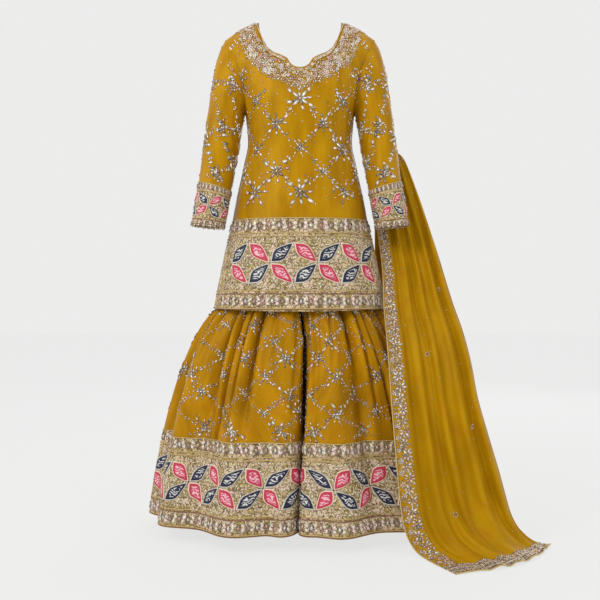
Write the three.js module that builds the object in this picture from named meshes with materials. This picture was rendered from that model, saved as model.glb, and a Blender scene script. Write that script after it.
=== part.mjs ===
import * as THREE from 'three';

// A sharara suit in the hollow form that a wearer gives it: a long-sleeved tunic (kameez),
// gathered divided trousers (sharara) and a scarf (dupatta) that hangs at the left arm.
// Millimetres, +Z up. The front faces -Y and the wearer's left is +X.
// The origin is the middle of the shoulder line, at the height of the neck points.

const SEAM_GAP = 0.3;
const WALL = { kameez: 1.8, sleeve: 1.6, band: 1.4, waist: 1.6, leg: 2, dupatta: 1.2 };

const NECK_POINT = { x: 118, z: 0 };
const NECK_BAND = { width: 8.5, seam: 0.9, endSlope: 0.3 };
const SHOULDER = { x: 200, z: -45 };
const ARMPIT = { x: 144, z: -236 };
const ARMHOLE = { halfDepth: 48, bow: 14, steps: 10 };
const HEM = { z: -765, sideRise: 8 };
const FLOOR = -1336;

// Side view of the chest and back: how far the cloth stands out below the shoulder line
const CHEST = [
  { below: 0, front: 0, back: 0 },
  { below: 12, front: 17, back: 16 },
  { below: 30, front: 35, back: 33 },
  { below: 60, front: 54, back: 52 },
  { below: 115, front: 82, back: 74 },
  { below: 180, front: 111, back: 89 },
  { below: 236, front: 121, back: 93 },
];

// Oval of the kameez at each height below the armholes
const KAMEEZ = [
  { z: -236, half: 144, front: 121, back: 93, fold: 0 },
  { z: -278, half: 139.5, front: 118, back: 88, fold: 0 },
  { z: -325, half: 137, front: 109, back: 82, fold: 0.5 },
  { z: -375, half: 147, front: 109, back: 90, fold: 1 },
  { z: -425, half: 157.5, front: 117, back: 104, fold: 2 },
  { z: -478, half: 169, front: 125, back: 114, fold: 3 },
  { z: -528, half: 178, front: 131, back: 124, fold: 4 },
  { z: -610, half: 198, front: 145, back: 139, fold: 5 },
  { z: -708, half: 218, front: 159, back: 153, fold: 6 },
  { z: -765, half: 228, front: 165, back: 160, fold: 7 },
];
const KAMEEZ_ROWS = { border: 3, waistTop: 6, waistBottom: 5, legTop: 1 };

// How far the hip yoke lies inside the kameez, from its lower edge up to the waistband
const YOKE_INSIDE = [-14, -16, -14, -10, -2.4];

// Soft folds that fall from the waist of the kameez: place across, width, share of the depth
const KAMEEZ_FOLDS = [
  { across: -0.7, width: 0.12, share: 1 },
  { across: -0.3, width: 0.13, share: 0.7 },
  { across: 0.12, width: 0.12, share: 0.5 },
  { across: 0.6, width: 0.12, share: 0.9 },
];

// Upper edges of front and back, under the neck binding: share of the shoulder width,
// height of the edge. The shares from the neck point on lie on the shoulder seam.
const FRONT_EDGE = [
  { across: 0, top: -147 },
  { across: 0.1, top: -142 },
  { across: 0.165, top: -129 },
  { across: 0.195, top: -117 },
  { across: 0.28, top: -107 },
  { across: 0.37, top: -97 },
  { across: 0.465, top: -72 },
  { across: 0.53, top: -35 },
  { across: 0.59, top: 0 },
  { across: 0.7, top: -8.5 },
  { across: 0.8, top: -17.5 },
  { across: 0.89, top: -29 },
  { across: 0.96, top: -39.4 },
  { across: 1, top: -45 },
];
const BACK_EDGE = [
  { across: 0, top: -108 },
  { across: 0.15, top: -104 },
  { across: 0.3, top: -89 },
  { across: 0.435, top: -63 },
  { across: 0.53, top: -30 },
  { across: 0.59, top: 0 },
  { across: 0.7, top: -8.5 },
  { across: 0.8, top: -17.5 },
  { across: 0.89, top: -29 },
  { across: 0.96, top: -39.4 },
  { across: 1, top: -45 },
];

// Rings of a sleeve: its outer and inner edge seen from the front, its middle and half depth
const SLEEVE = [
  { outX: 200, outZ: -45, inX: 146.5, inZ: -236, y: 0, depth: 50, bow: 14 },
  { outX: 214, outZ: -76, inX: 149, inZ: -252, y: -1, depth: 53, bow: 8 },
  { outX: 226, outZ: -120, inX: 152.5, inZ: -276, y: -3, depth: 54, bow: 3 },
  { outX: 236, outZ: -180, inX: 158, inZ: -312, y: -7, depth: 53, bow: 0 },
  { outX: 244, outZ: -240, inX: 163, inZ: -350, y: -12, depth: 51, bow: 0 },
  { outX: 255, outZ: -330, inX: 171, inZ: -396, y: -24, depth: 49, bow: 0 },
  { outX: 265, outZ: -428, inX: 181, inZ: -452, y: -40, depth: 47, bow: 0 },
  { outX: 273, outZ: -484, inX: 189, inZ: -500, y: -49, depth: 46, bow: 0 },
  { outX: 281, outZ: -541, inX: 198, inZ: -549, y: -56, depth: 45, bow: 0 },
];
const SLEEVE_CUFF_AT = 6;
const SLEEVE_RINGS = { arm: 9, cuff: 3, around: 20 };

// Oval that both legs make together at each height, with the depth of the fine gathers
// under the kameez and of the broad folds that they run into
const LEGS = [
  { z: -710.1, half: 204, front: 146, back: 140, fine: 2, broad: 0 },
  { z: -756, half: 219, front: 156, back: 151, fine: 4, broad: 0 },
  { z: -769, half: 236, front: 162, back: 158, fine: 6, broad: 1 },
  { z: -800, half: 262, front: 187, back: 181, fine: 10, broad: 3 },
  { z: -850, half: 290, front: 208, back: 200, fine: 9, broad: 7 },
  { z: -920, half: 319, front: 229, back: 219, fine: 6, broad: 11 },
  { z: -1000, half: 344, front: 247, back: 235, fine: 4, broad: 14 },
  { z: -1080, half: 364, front: 260, back: 247, fine: 2, broad: 15 },
  { z: -1145, half: 376, front: 268, back: 255, fine: 1, broad: 16 },
  { z: -1220, half: 390, front: 278, back: 264, fine: 0, broad: 17 },
  { z: -1301, half: 400, front: 286, back: 271, fine: 0, broad: 18 },
];
const LEG_BORDER_ROW = 7;
const LEG_COLUMNS = 80;
const LEG_FOLDS = { fine: 16, broad: 8, innerShare: 0.35, innerGap: 4, corner: 34 };

// The dupatta, from the end of its back fall up over the fold behind the left elbow and down
// in front of the leg to its end on the floor. left and right are the edges of the stretch
// that shows, tilt turns its face from back (2) over up (1) to front (0) and up again on the
// floor, depth scales its folds, spread opens them flat and bulge rounds its end.
const DUPATTA = [
  { left: [262, 230, -1130], right: [402, 112, -1130], tilt: 2, depth: 0.8, spread: 0, bulge: 0 },
  { left: [250, 216, -1060], right: [386, 104, -1060], tilt: 2, depth: 0.8, spread: 0, bulge: 0 },
  { left: [236, 196, -960], right: [362, 100, -960], tilt: 2, depth: 0.8, spread: 0, bulge: 0 },
  { left: [222, 166, -850], right: [332, 88, -850], tilt: 2, depth: 0.8, spread: 0, bulge: 0 },
  { left: [212, 118, -740], right: [304, 64, -740], tilt: 2, depth: 0.7, spread: 0, bulge: 0 },
  { left: [208, 82, -600], right: [292, 54, -600], tilt: 2, depth: 0.6, spread: 0, bulge: 0 },
  { left: [206, 68, -450], right: [288, 50, -450], tilt: 2, depth: 0.5, spread: 0, bulge: 0 },
  { left: [208, 58, -360], right: [279, 48, -366], tilt: 2, depth: 0.25, spread: 0, bulge: 0 },
  { left: [213, 46, -333], right: [264, 42, -338], tilt: 1.7, depth: 0.1, spread: 0, bulge: 0 },
  { left: [213, 39.5, -329], right: [263, 35.5, -334], tilt: 1, depth: 0.08, spread: 0, bulge: 0 },
  { left: [213, 33, -333], right: [264, 29, -338], tilt: 0.3, depth: 0.1, spread: 0, bulge: 0 },
  { left: [205, 30.9, -352], right: [281, 22.4, -358], tilt: 0, depth: 0.2, spread: 0, bulge: 0 },
  { left: [203, 26, -420], right: [301, 6, -412], tilt: 0, depth: 0.5, spread: 0, bulge: 0 },
  { left: [205, 13, -500], right: [331, -6, -500], tilt: 0, depth: 0.8, spread: 0, bulge: 0 },
  { left: [211, 0, -575], right: [354, -22, -578], tilt: 0, depth: 0.9, spread: 0, bulge: 0 },
  { left: [216, -50, -660], right: [374, -52, -660], tilt: 0, depth: 1, spread: 0, bulge: 0 },
  { left: [214, -112, -757], right: [392, -92, -740], tilt: 0.05, depth: 1, spread: 0, bulge: 0 },
  { left: [214, -182, -830], right: [410, -140, -812], tilt: 0.08, depth: 1.1, spread: 0, bulge: 0 },
  { left: [216, -222, -900], right: [424, -180, -890], tilt: 0.05, depth: 1.2, spread: 0, bulge: 0 },
  { left: [219, -252, -985], right: [436, -205, -975], tilt: 0.03, depth: 1.3, spread: 0, bulge: 0 },
  { left: [226, -275, -1094], right: [457, -222, -1060], tilt: 0, depth: 1.4, spread: 0, bulge: 0 },
  { left: [234, -290, -1200], right: [481, -230, -1145], tilt: 0, depth: 1.4, spread: 0, bulge: 0 },
  { left: [246, -298, -1275], right: [500, -234, -1205], tilt: 0.1, depth: 1.3, spread: 0.1, bulge: 5 },
  { left: [268, -308, -1318], right: [522, -236, -1252], tilt: 0.35, depth: 1, spread: 0.4, bulge: 14 },
  { left: [294, -336, -1334], right: [552, -230, -1292], tilt: 0.7, depth: 0.9, spread: 0.7, bulge: 26 },
  { left: [315, -385, -1334], right: [584, -216, -1320], tilt: 0.95, depth: 0.7, spread: 0.9, bulge: 38 },
  { left: [340, -440, -1334], right: [612, -200, -1333], tilt: 1, depth: 0.6, spread: 1, bulge: 48 },
];
const DUPATTA_TOP = 9;
const DUPATTA_END_BORDER = 1;

// Folds across the dupatta: where each line of the cloth lies between its edges and how far
// it stands out, while it hangs and once it is spread on the floor
const DUPATTA_FOLDS = [
  { along: 0, out: 0, flatAlong: 0, flatOut: 0 },
  { along: 0.08, out: 4, flatAlong: 0.07, flatOut: 3 },
  { along: 0.17, out: 7, flatAlong: 0.14, flatOut: 4 },
  { along: 0.26, out: -7, flatAlong: 0.22, flatOut: 1 },
  { along: 0.36, out: 8, flatAlong: 0.3, flatOut: 9 },
  { along: 0.45, out: -8, flatAlong: 0.38, flatOut: 2 },
  { along: 0.56, out: 9, flatAlong: 0.46, flatOut: 12 },
  { along: 0.65, out: -6, flatAlong: 0.55, flatOut: 2 },
  { along: 0.76, out: 8, flatAlong: 0.63, flatOut: 10 },
  { along: 0.86, out: -5, flatAlong: 0.72, flatOut: 2 },
  { along: 0.95, out: 3, flatAlong: 0.8, flatOut: 7 },
  { along: 1, out: -7, flatAlong: 0.87, flatOut: 2 },
  { along: 0.97, out: -19, flatAlong: 0.92, flatOut: 4 },
  { along: 0.84, out: -25, flatAlong: 0.96, flatOut: 2 },
  { along: 0.7, out: -24, flatAlong: 1, flatOut: 0 },
];
const DUPATTA_BORDER_COLUMNS = 2;

// Outline of the ovals: 1 at the middle, 0 at the side seams
const OVAL = { power: 2.3, root: 2 };

const MUSTARD_SILK = { color: 0xb8860b, roughness: 0.45, metalness: 0 };
const SCARF_SILK = { color: 0xc4900f, roughness: 0.5, metalness: 0 };
const BORDER_CLOTH = { color: 0xc9b17c, roughness: 0.6, metalness: 0.1 };
const PLAIN_COTTON = { color: 0xa87a12, roughness: 0.7, metalness: 0 };

const suit = new THREE.Group();

// Value of one column of a table on a smooth curve through its rows
function smoothColumn(table, key, name, at) {
  const rising = table[1][key] > table[0][key];
  let row = 0;
  while (row < table.length - 2 && (at > table[row + 1][key]) === rising) row += 1;
  const [a, b] = [table[row], table[row + 1]];
  const span = b[key] - a[key];
  const t = THREE.MathUtils.clamp((at - a[key]) / span, 0, 1);
  const slopeA = slopeAt(table, key, name, row) * span;
  const slopeB = slopeAt(table, key, name, row + 1) * span;
  const t2 = t * t;
  const t3 = t2 * t;
  return (2 * t3 - 3 * t2 + 1) * a[name] + (t3 - 2 * t2 + t) * slopeA
    + (3 * t2 - 2 * t3) * b[name] + (t3 - t2) * slopeB;
}

function slopeAt(table, key, name, row) {
  const before = table[Math.max(row - 1, 0)];
  const after = table[Math.min(row + 1, table.length - 1)];
  return (after[name] - before[name]) / (after[key] - before[key]);
}

// Depth of an oval at a share of its half width, and of the folds on it
function ovalDepth(across) {
  const rest = Math.max(0, 1 - Math.abs(across) ** OVAL.power);
  return rest ** (1 / OVAL.root);
}

function kameezFold(across, depth) {
  let sum = 0;
  for (const fold of KAMEEZ_FOLDS) {
    const away = (across - fold.across) / fold.width;
    sum += fold.share * Math.exp(-away * away);
  }
  return sum * depth;
}

// A surface is a grid of points with a normal at each, wound round a tube when closed
function makeSurface(points, closed) {
  const rows = points.length;
  const columns = points[0].length;
  const normals = points.map((row, r) => row.map((_, c) => {
    const left = closed ? (c + columns - 1) % columns : Math.max(c - 1, 0);
    const right = closed ? (c + 1) % columns : Math.min(c + 1, columns - 1);
    const across = points[r][right].clone().sub(points[r][left]);
    const down = points[Math.min(r + 1, rows - 1)][c].clone();
    down.sub(points[Math.max(r - 1, 0)][c]);
    return across.cross(down).normalize();
  }));
  return { points, normals, closed };
}

function flipNormals(surface) {
  for (const row of surface.normals) {
    for (const normal of row) normal.negate();
  }
  return surface;
}

// Points of a surface moved along its normals
function movedOut(surface, distances) {
  const points = surface.points.map((row, r) => row.map((point, c) => (
    point.clone().addScaledVector(surface.normals[r][c], distances[r])
  )));
  const normals = surface.normals.map((row) => row.map((normal) => normal.clone()));
  return { points, normals, closed: surface.closed };
}

// The rows and columns of a surface that one piece of cloth covers
function slice(surface, rows, columns = null) {
  const pick = (grid) => grid.slice(rows[0], rows[1] + 1).map((row) => {
    const kept = columns ? pickAround(row, columns) : row;
    return kept.map((vector) => vector.clone());
  });
  const closed = surface.closed && !columns;
  return { points: pick(surface.points), normals: pick(surface.normals), closed };
}

function pickAround(row, columns) {
  const kept = [];
  for (let c = columns[0]; c <= columns[1]; c += 1) kept.push(row[c % row.length]);
  return kept;
}

// Edges draw back by half a seam gap, so that neighbours stay apart
function drawBackEdges(surface) {
  const { points, closed } = surface;
  const lastRow = points.length - 1;
  const lastColumn = points[0].length - 1;
  const towards = (from, to) => to.clone().sub(from).setLength(SEAM_GAP / 2);
  const before = points.map((row) => row.map((point) => point.clone()));
  for (let c = 0; c <= lastColumn; c += 1) {
    points[0][c].add(towards(before[0][c], before[1][c]));
    points[lastRow][c].add(towards(before[lastRow][c], before[lastRow - 1][c]));
  }
  if (closed) return;
  for (let r = 0; r <= lastRow; r += 1) {
    points[r][0].add(towards(before[r][0], before[r][1]));
    points[r][lastColumn].add(towards(before[r][lastColumn], before[r][lastColumn - 1]));
  }
}

// Closed wall round a surface: outer skin, inner skin and rims
function wallGeometry(surface, thickness) {
  drawBackEdges(surface);
  const { points, normals, closed } = surface;
  const rows = points.length;
  const columns = points[0].length;
  const position = [];
  for (const side of [0.5, -0.5]) {
    for (let r = 0; r < rows; r += 1) {
      for (let c = 0; c < columns; c += 1) {
        const corner = points[r][c].clone().addScaledVector(normals[r][c], side * thickness);
        position.push(corner.x, corner.y, corner.z);
      }
    }
  }
  const outer = (r, c) => r * columns + (c % columns);
  const inner = (r, c) => rows * columns + outer(r, c);
  const index = [];
  const quad = (a, b, c, d) => index.push(a, b, c, a, c, d);
  const steps = closed ? columns : columns - 1;
  for (let r = 0; r < rows - 1; r += 1) {
    for (let c = 0; c < steps; c += 1) {
      quad(outer(r, c), outer(r, c + 1), outer(r + 1, c + 1), outer(r + 1, c));
      quad(inner(r, c + 1), inner(r, c), inner(r + 1, c), inner(r + 1, c + 1));
    }
    if (!closed) {
      quad(inner(r, 0), outer(r, 0), outer(r + 1, 0), inner(r + 1, 0));
      quad(outer(r, steps), inner(r, steps), inner(r + 1, steps), outer(r + 1, steps));
    }
  }
  for (let c = 0; c < steps; c += 1) {
    quad(inner(0, c), inner(0, c + 1), outer(0, c + 1), outer(0, c));
    quad(outer(rows - 1, c), outer(rows - 1, c + 1), inner(rows - 1, c + 1), inner(rows - 1, c));
  }
  return outwardGeometry(position, index);
}

// A wall that is wound inside out is turned round
function outwardGeometry(position, index) {
  const corner = (i) => new THREE.Vector3().fromArray(position, index[i] * 3);
  let volume = 0;
  for (let i = 0; i < index.length; i += 3) {
    volume += corner(i).dot(corner(i + 1).cross(corner(i + 2)));
  }
  if (volume < 0) index.reverse();
  const geometry = new THREE.BufferGeometry();
  geometry.setAttribute('position', new THREE.Float32BufferAttribute(position, 3));
  geometry.setIndex(index);
  return geometry;
}

function addPiece(name, surface, thickness, finish) {
  const material = new THREE.MeshStandardMaterial(finish);
  const mesh = new THREE.Mesh(wallGeometry(surface, thickness), material);
  mesh.name = name;
  suit.add(mesh);
}

// A point of the armhole edge: angle 0 at the shoulder, half a turn at the armpit
function armholePoint(angle, face) {
  const lift = (1 + Math.cos(angle)) / 2;
  const side = Math.sin(angle);
  return new THREE.Vector3(
    ARMPIT.x + (SHOULDER.x - ARMPIT.x) * lift - ARMHOLE.bow * side * side,
    face * ARMHOLE.halfDepth * side,
    ARMPIT.z + (SHOULDER.z - ARMPIT.z) * lift,
  );
}

// Height of the shoulder line, which bows upwards, at a distance from the middle
function shoulderHeight(x) {
  const across = Math.max(Math.abs(x), NECK_POINT.x) / SHOULDER.x;
  return smoothColumn(BACK_EDGE, 'across', 'top', Math.min(across, 1));
}

// A point of the front (face -1) or back (face 1) above the armpits
function bodicePoint(edgePoint, across, angle, face) {
  const hole = armholePoint(angle, face);
  const rise = (edgePoint.top - ARMPIT.z) / (SHOULDER.z - ARMPIT.z);
  const z = ARMPIT.z + (hole.z - ARMPIT.z) * rise;
  const x = hole.x * across;
  const name = face < 0 ? 'front' : 'back';
  const below = Math.max(0, shoulderHeight(x) - z);
  const middle = face * smoothColumn(CHEST, 'below', name, below);
  const y = hole.y + (middle - hole.y) * ovalDepth(across);
  return new THREE.Vector3(x, y, z);
}

// A point of the front or back from the armpits down
function skirtPoint(across, section, face) {
  const depth = face < 0 ? section.front : section.back;
  const rise = HEM.sideRise * Math.max(0, (ARMPIT.z - section.z) / (ARMPIT.z - HEM.z)) ** 2;
  const y = face * depth * ovalDepth(across) + face * kameezFold(across, section.fold);
  return new THREE.Vector3(section.half * across, y, section.z + rise * across * across);
}

// The whole front or back of the kameez, rows from the hem up, columns from right to left
function kameezSurface(edge, face) {
  const mirrored = edge.slice(1).reverse().map((entry) => ({ ...entry, across: -entry.across }));
  const columns = [...mirrored, ...edge];
  const points = [...KAMEEZ].reverse().map((section) => (
    columns.map((entry) => skirtPoint(entry.across, section, face))
  ));
  for (let step = ARMHOLE.steps - 1; step >= 0; step -= 1) {
    const angle = Math.PI * step / ARMHOLE.steps;
    points.push(columns.map((entry) => bodicePoint(entry, entry.across, angle, face)));
  }
  const surface = makeSurface(points, false);
  if (face > 0) flipNormals(surface);
  squareSeams(surface, columns);
  return surface;
}

// At the side and shoulder seams the walls end in the plane between front and back
function squareSeams(surface, columns) {
  const { points, normals } = surface;
  const last = columns.length - 1;
  for (let r = 0; r < KAMEEZ.length; r += 1) {
    for (const c of [0, last]) {
      const above = points[Math.min(r + 1, KAMEEZ.length - 1)][c];
      const under = points[Math.max(r - 1, 0)][c];
      const lean = (above.x - under.x) / (above.z - under.z);
      normals[r][c].set(Math.sign(points[r][c].x), 0, -lean * Math.sign(points[r][c].x)).normalize();
    }
  }
  const slope = (NECK_POINT.z - SHOULDER.z) / (SHOULDER.x - NECK_POINT.x);
  columns.forEach((entry, c) => {
    if (Math.abs(entry.across) * SHOULDER.x < NECK_POINT.x) return;
    normals[points.length - 1][c].set(slope * Math.sign(entry.across), 0, 1).normalize();
  });
}

function addKameezBody(front, back) {
  const top = front.points.length - 1;
  const border = KAMEEZ_ROWS.border;
  for (const [name, surface] of [['front', front], ['back', back]]) {
    addPiece(`kameez_${name}`, slice(surface, [border, top]), WALL.kameez, MUSTARD_SILK);
    addPiece(`kameez_hem_border_${name}`, slice(surface, [0, border]), WALL.kameez, BORDER_CLOTH);
  }
}

// The neck binding carries the cloth on, past the upper edge of front or back
function addNeckBand(name, surface, edge) {
  const top = surface.points.length - 1;
  const middle = edge.length - 1;
  const reach = edge.findIndex((entry) => entry.across * SHOULDER.x >= NECK_POINT.x);
  const strip = slice(surface, [top - 1, top], [middle - reach, middle + reach]);
  const [under, edgeRow] = strip.points;
  const normals = strip.normals[1];
  const outwards = edgeRow.map((point, c) => {
    const before = edgeRow[Math.max(c - 1, 0)];
    const after = edgeRow[Math.min(c + 1, edgeRow.length - 1)];
    const outward = after.clone().sub(before).cross(normals[c]).normalize();
    if (outward.dot(point.clone().sub(under[c])) < 0) outward.negate();
    if (c === 0 || c === edgeRow.length - 1) {
      outward.set(-Math.sign(point.x), 0, NECK_BAND.endSlope).normalize();
    }
    return outward;
  });
  const moved = (distance) => edgeRow.map((point, c) => (
    point.clone().addScaledVector(outwards[c], distance)
  ));
  const band = {
    points: [moved(NECK_BAND.seam), moved(NECK_BAND.width)],
    normals: [normals, normals.map((normal) => normal.clone())],
    closed: false,
  };
  addPiece(`kameez_neck_band_${name}`, band, WALL.band, BORDER_CLOTH);
}

// Ring of a sleeve at a place between two rows of its table
function sleeveRing(place, side) {
  const row = Math.min(Math.floor(place), SLEEVE.length - 2);
  const table = SLEEVE.map((entry, i) => ({ ...entry, i }));
  const at = (name) => smoothColumn(table, 'i', name, Math.max(place, row));
  const outer = new THREE.Vector3(at('outX'), at('y'), at('outZ'));
  const inner = new THREE.Vector3(at('inX'), at('y'), at('inZ'));
  const middle = outer.clone().add(inner).multiplyScalar(0.5);
  const ring = [];
  for (let k = 0; k < SLEEVE_RINGS.around; k += 1) {
    const angle = 2 * Math.PI * k / SLEEVE_RINGS.around;
    const point = middle.clone().lerp(outer, Math.cos(angle));
    point.x -= at('bow') * Math.sin(angle) ** 2;
    point.y -= at('depth') * Math.sin(angle);
    point.x *= side;
    ring.push(point);
  }
  return ring;
}

// The first ring of a sleeve laps over the armhole edges of front and back
function sleeveHead(front, back, side) {
  const lap = WALL.kameez / 2 + SEAM_GAP + WALL.sleeve / 2 + 0.2;
  const shoulderRow = front.points.length - 1;
  const half = SLEEVE_RINGS.around / 2;
  const ring = [];
  for (let k = 0; k < SLEEVE_RINGS.around; k += 1) {
    const surface = k <= half ? front : back;
    const down = k <= half ? k : SLEEVE_RINGS.around - k;
    const column = side > 0 ? surface.points[0].length - 1 : 0;
    const row = shoulderRow - down;
    const point = surface.points[row][column].clone();
    ring.push(point.addScaledVector(surface.normals[row][column], lap));
  }
  return ring;
}

function addSleeve(name, front, back, side) {
  const rings = [sleeveHead(front, back, side)];
  for (let i = 1; i <= SLEEVE_RINGS.arm; i += 1) {
    rings.push(sleeveRing(SLEEVE_CUFF_AT * i / SLEEVE_RINGS.arm, side));
  }
  const cuffRows = SLEEVE.length - 1 - SLEEVE_CUFF_AT;
  for (let i = 1; i <= SLEEVE_RINGS.cuff; i += 1) {
    rings.push(sleeveRing(SLEEVE_CUFF_AT + cuffRows * i / SLEEVE_RINGS.cuff, side));
  }
  const surface = makeSurface(rings, true);
  if (side < 0) flipNormals(surface);
  const cuffTop = SLEEVE_RINGS.arm;
  addPiece(`kameez_sleeve_${name}`, slice(surface, [0, cuffTop]), WALL.sleeve, MUSTARD_SILK);
  const cuff = slice(surface, [cuffTop, rings.length - 1]);
  addPiece(`kameez_cuff_${name}`, cuff, WALL.sleeve, BORDER_CLOTH);
}

// The waistband and the hip yoke of the sharara lie inside the kameez, made from its points
function ringOfKameez(front, back, step) {
  const rows = front.points.map((row, r) => [
    ...everyOther(row, step),
    ...everyOther(back.points[r], step).reverse().slice(1, -1),
  ]);
  const normals = front.normals.map((row, r) => [
    ...everyOther(row, step),
    ...everyOther(back.normals[r], step).reverse().slice(1, -1),
  ]);
  return { points: rows, normals, closed: true };
}

function everyOther(row, step) {
  return row.filter((_, c) => c % step === 0 || c === row.length - 1);
}

function addWaistband(front, back) {
  const ring = ringOfKameez(front, back, 1);
  const { waistTop, waistBottom } = KAMEEZ_ROWS;
  const inside = -(WALL.kameez / 2 + SEAM_GAP + WALL.waist / 2);
  const strip = slice(ring, [waistBottom, waistTop]);
  addPiece('sharara_waistband', movedOut(strip, [inside, inside]), WALL.waist, PLAIN_COTTON);
}

function addYoke(front, back) {
  const { legTop, waistBottom } = KAMEEZ_ROWS;
  for (const [name, surface] of [['front', front], ['back', back]]) {
    const thin = {
      points: surface.points.map((row) => everyOther(row, 2)),
      normals: surface.normals.map((row) => everyOther(row, 2)),
      closed: false,
    };
    const strip = movedOut(slice(thin, [legTop, waistBottom]), YOKE_INSIDE);
    addPiece(`sharara_yoke_${name}`, strip, WALL.waist, PLAIN_COTTON);
  }
}

// Half the outline of one leg, from the side seam round to the inseam
function legOutline(section, face) {
  const deepest = section.fine + section.broad;
  const half = section.half - deepest;
  const depth = (face < 0 ? section.front : section.back) - deepest;
  const inner = LEG_FOLDS.innerGap + deepest * LEG_FOLDS.innerShare;
  const corner = LEG_FOLDS.corner;
  const outline = [];
  const arcStart = inner + corner;
  const dense = 80;
  for (let i = 0; i <= dense; i += 1) {
    const across = Math.cos(Math.PI / 2 * i / dense);
    if (half * across > arcStart) {
      outline.push(new THREE.Vector2(half * across, face * depth * ovalDepth(across)));
    }
  }
  for (let i = 0; i <= 8; i += 1) {
    const turn = Math.PI / 2 * i / 8;
    const x = arcStart - corner * Math.sin(turn);
    outline.push(new THREE.Vector2(x, face * (depth - corner + corner * Math.cos(turn))));
  }
  outline.push(new THREE.Vector2(inner, 0));
  return outline;
}

// Points at even distances along an open line
function evenPoints(line, count) {
  const lengths = [0];
  for (let i = 1; i < line.length; i += 1) {
    lengths.push(lengths[i - 1] + line[i].distanceTo(line[i - 1]));
  }
  const even = [];
  let segment = 1;
  for (let k = 0; k <= count; k += 1) {
    const target = lengths[lengths.length - 1] * k / count;
    while (segment < line.length - 1 && lengths[segment] < target) segment += 1;
    const share = (target - lengths[segment - 1]) / (lengths[segment] - lengths[segment - 1]);
    even.push(line[segment - 1].clone().lerp(line[segment], share));
  }
  return even;
}

// Uneven gathers: a fine wave that fades into one of half its number
function gatherWave(round, section) {
  const uneven = round + 0.011 * Math.sin(6 * Math.PI * round + 0.7)
    + 0.006 * Math.sin(10 * Math.PI * round + 2.1);
  const fine = Math.sin(2 * Math.PI * LEG_FOLDS.fine * uneven);
  const broad = Math.sin(2 * Math.PI * LEG_FOLDS.broad * uneven + 0.9);
  return section.fine * fine + section.broad * broad;
}

function legRing(section, side) {
  const halfCount = LEG_COLUMNS / 2;
  const frontLine = evenPoints(legOutline(section, -1), halfCount);
  const backLine = evenPoints(legOutline(section, 1), halfCount).reverse();
  const ring = [...frontLine, ...backLine.slice(1, -1)];
  return ring.map((point, c) => {
    const before = ring[(c + ring.length - 1) % ring.length];
    const after = ring[(c + 1) % ring.length];
    const along = after.clone().sub(before).normalize();
    const out = new THREE.Vector2(-along.y, along.x).negate();
    const nearInner = 1 - THREE.MathUtils.smoothstep(point.x, 20, 90);
    const share = 1 - (1 - LEG_FOLDS.innerShare) * nearInner;
    const round = side > 0 ? c / ring.length : 1.37 - c / ring.length;
    const moved = point.clone().addScaledVector(out, -gatherWave(round, section) * share);
    return new THREE.Vector3(moved.x * side, moved.y, section.z);
  });
}

function addLeg(name, side) {
  const surface = makeSurface(LEGS.map((section) => legRing(section, side)), true);
  if (side > 0) flipNormals(surface);
  const last = LEGS.length - 1;
  const half = LEG_COLUMNS / 2;
  for (const [face, columns] of [['front', [0, half]], ['back', [half, LEG_COLUMNS]]]) {
    const leg = slice(surface, [0, LEG_BORDER_ROW], columns);
    addPiece(`sharara_leg_${name}_${face}`, leg, WALL.leg, MUSTARD_SILK);
    const border = slice(surface, [LEG_BORDER_ROW, last], columns);
    addPiece(`sharara_border_${name}_${face}`, border, WALL.leg, BORDER_CLOTH);
  }
}

// One row across the dupatta, from its left edge to its right edge
function dupattaRow(row) {
  const { left, right, tilt, depth, spread, bulge } = DUPATTA[row];
  const start = new THREE.Vector3(...left);
  const width = new THREE.Vector3(...right).sub(start);
  const turn = tilt * Math.PI / 2;
  const out = new THREE.Vector3(0, -Math.cos(turn), Math.sin(turn));
  const forward = new THREE.Vector3(width.y, -width.x, 0).setLength(1);
  const lowest = FLOOR + WALL.dupatta / 2 + 0.2;
  return DUPATTA_FOLDS.map((fold) => {
    const along = THREE.MathUtils.lerp(fold.along, fold.flatAlong, spread);
    const height = THREE.MathUtils.lerp(fold.out, fold.flatOut, spread) * depth;
    const point = start.clone().addScaledVector(width, along).addScaledVector(out, height);
    point.addScaledVector(forward, bulge * Math.sin(Math.PI * along));
    point.z = Math.max(point.z, lowest);
    return point;
  });
}

function addDupatta() {
  const surface = makeSurface(DUPATTA.map((_, row) => dupattaRow(row)), false);
  const last = DUPATTA.length - 1;
  const endTop = last - DUPATTA_END_BORDER;
  const edge = DUPATTA_FOLDS.length - 1;
  const border = DUPATTA_BORDER_COLUMNS;
  const addCloth = (name, rows, columns, finish) => {
    addPiece(`dupatta_${name}`, slice(surface, rows, columns), WALL.dupatta, finish);
  };
  addCloth('back_fall', [0, DUPATTA_TOP], [border, edge], SCARF_SILK);
  addCloth('front_fall', [DUPATTA_TOP, endTop], [border, edge], SCARF_SILK);
  addCloth('back_border', [0, DUPATTA_TOP], [0, border], BORDER_CLOTH);
  addCloth('side_border', [DUPATTA_TOP, endTop], [0, border], BORDER_CLOTH);
  addCloth('end_border', [endTop, last], [0, edge], BORDER_CLOTH);
}

const kameezFront = kameezSurface(FRONT_EDGE, -1);
const kameezBack = kameezSurface(BACK_EDGE, 1);
addKameezBody(kameezFront, kameezBack);
addNeckBand('front', kameezFront, FRONT_EDGE);
addNeckBand('back', kameezBack, BACK_EDGE);
addSleeve('right', kameezFront, kameezBack, -1);
addSleeve('left', kameezFront, kameezBack, 1);
addWaistband(kameezFront, kameezBack);
addYoke(kameezFront, kameezBack);
addLeg('right', -1);
addLeg('left', 1);
addDupatta();

export default suit;
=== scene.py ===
import math
import random
from functools import lru_cache

import bmesh
import bpy
import numpy as np
from mathutils import Matrix, Vector
from mathutils.kdtree import KDTree


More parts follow.
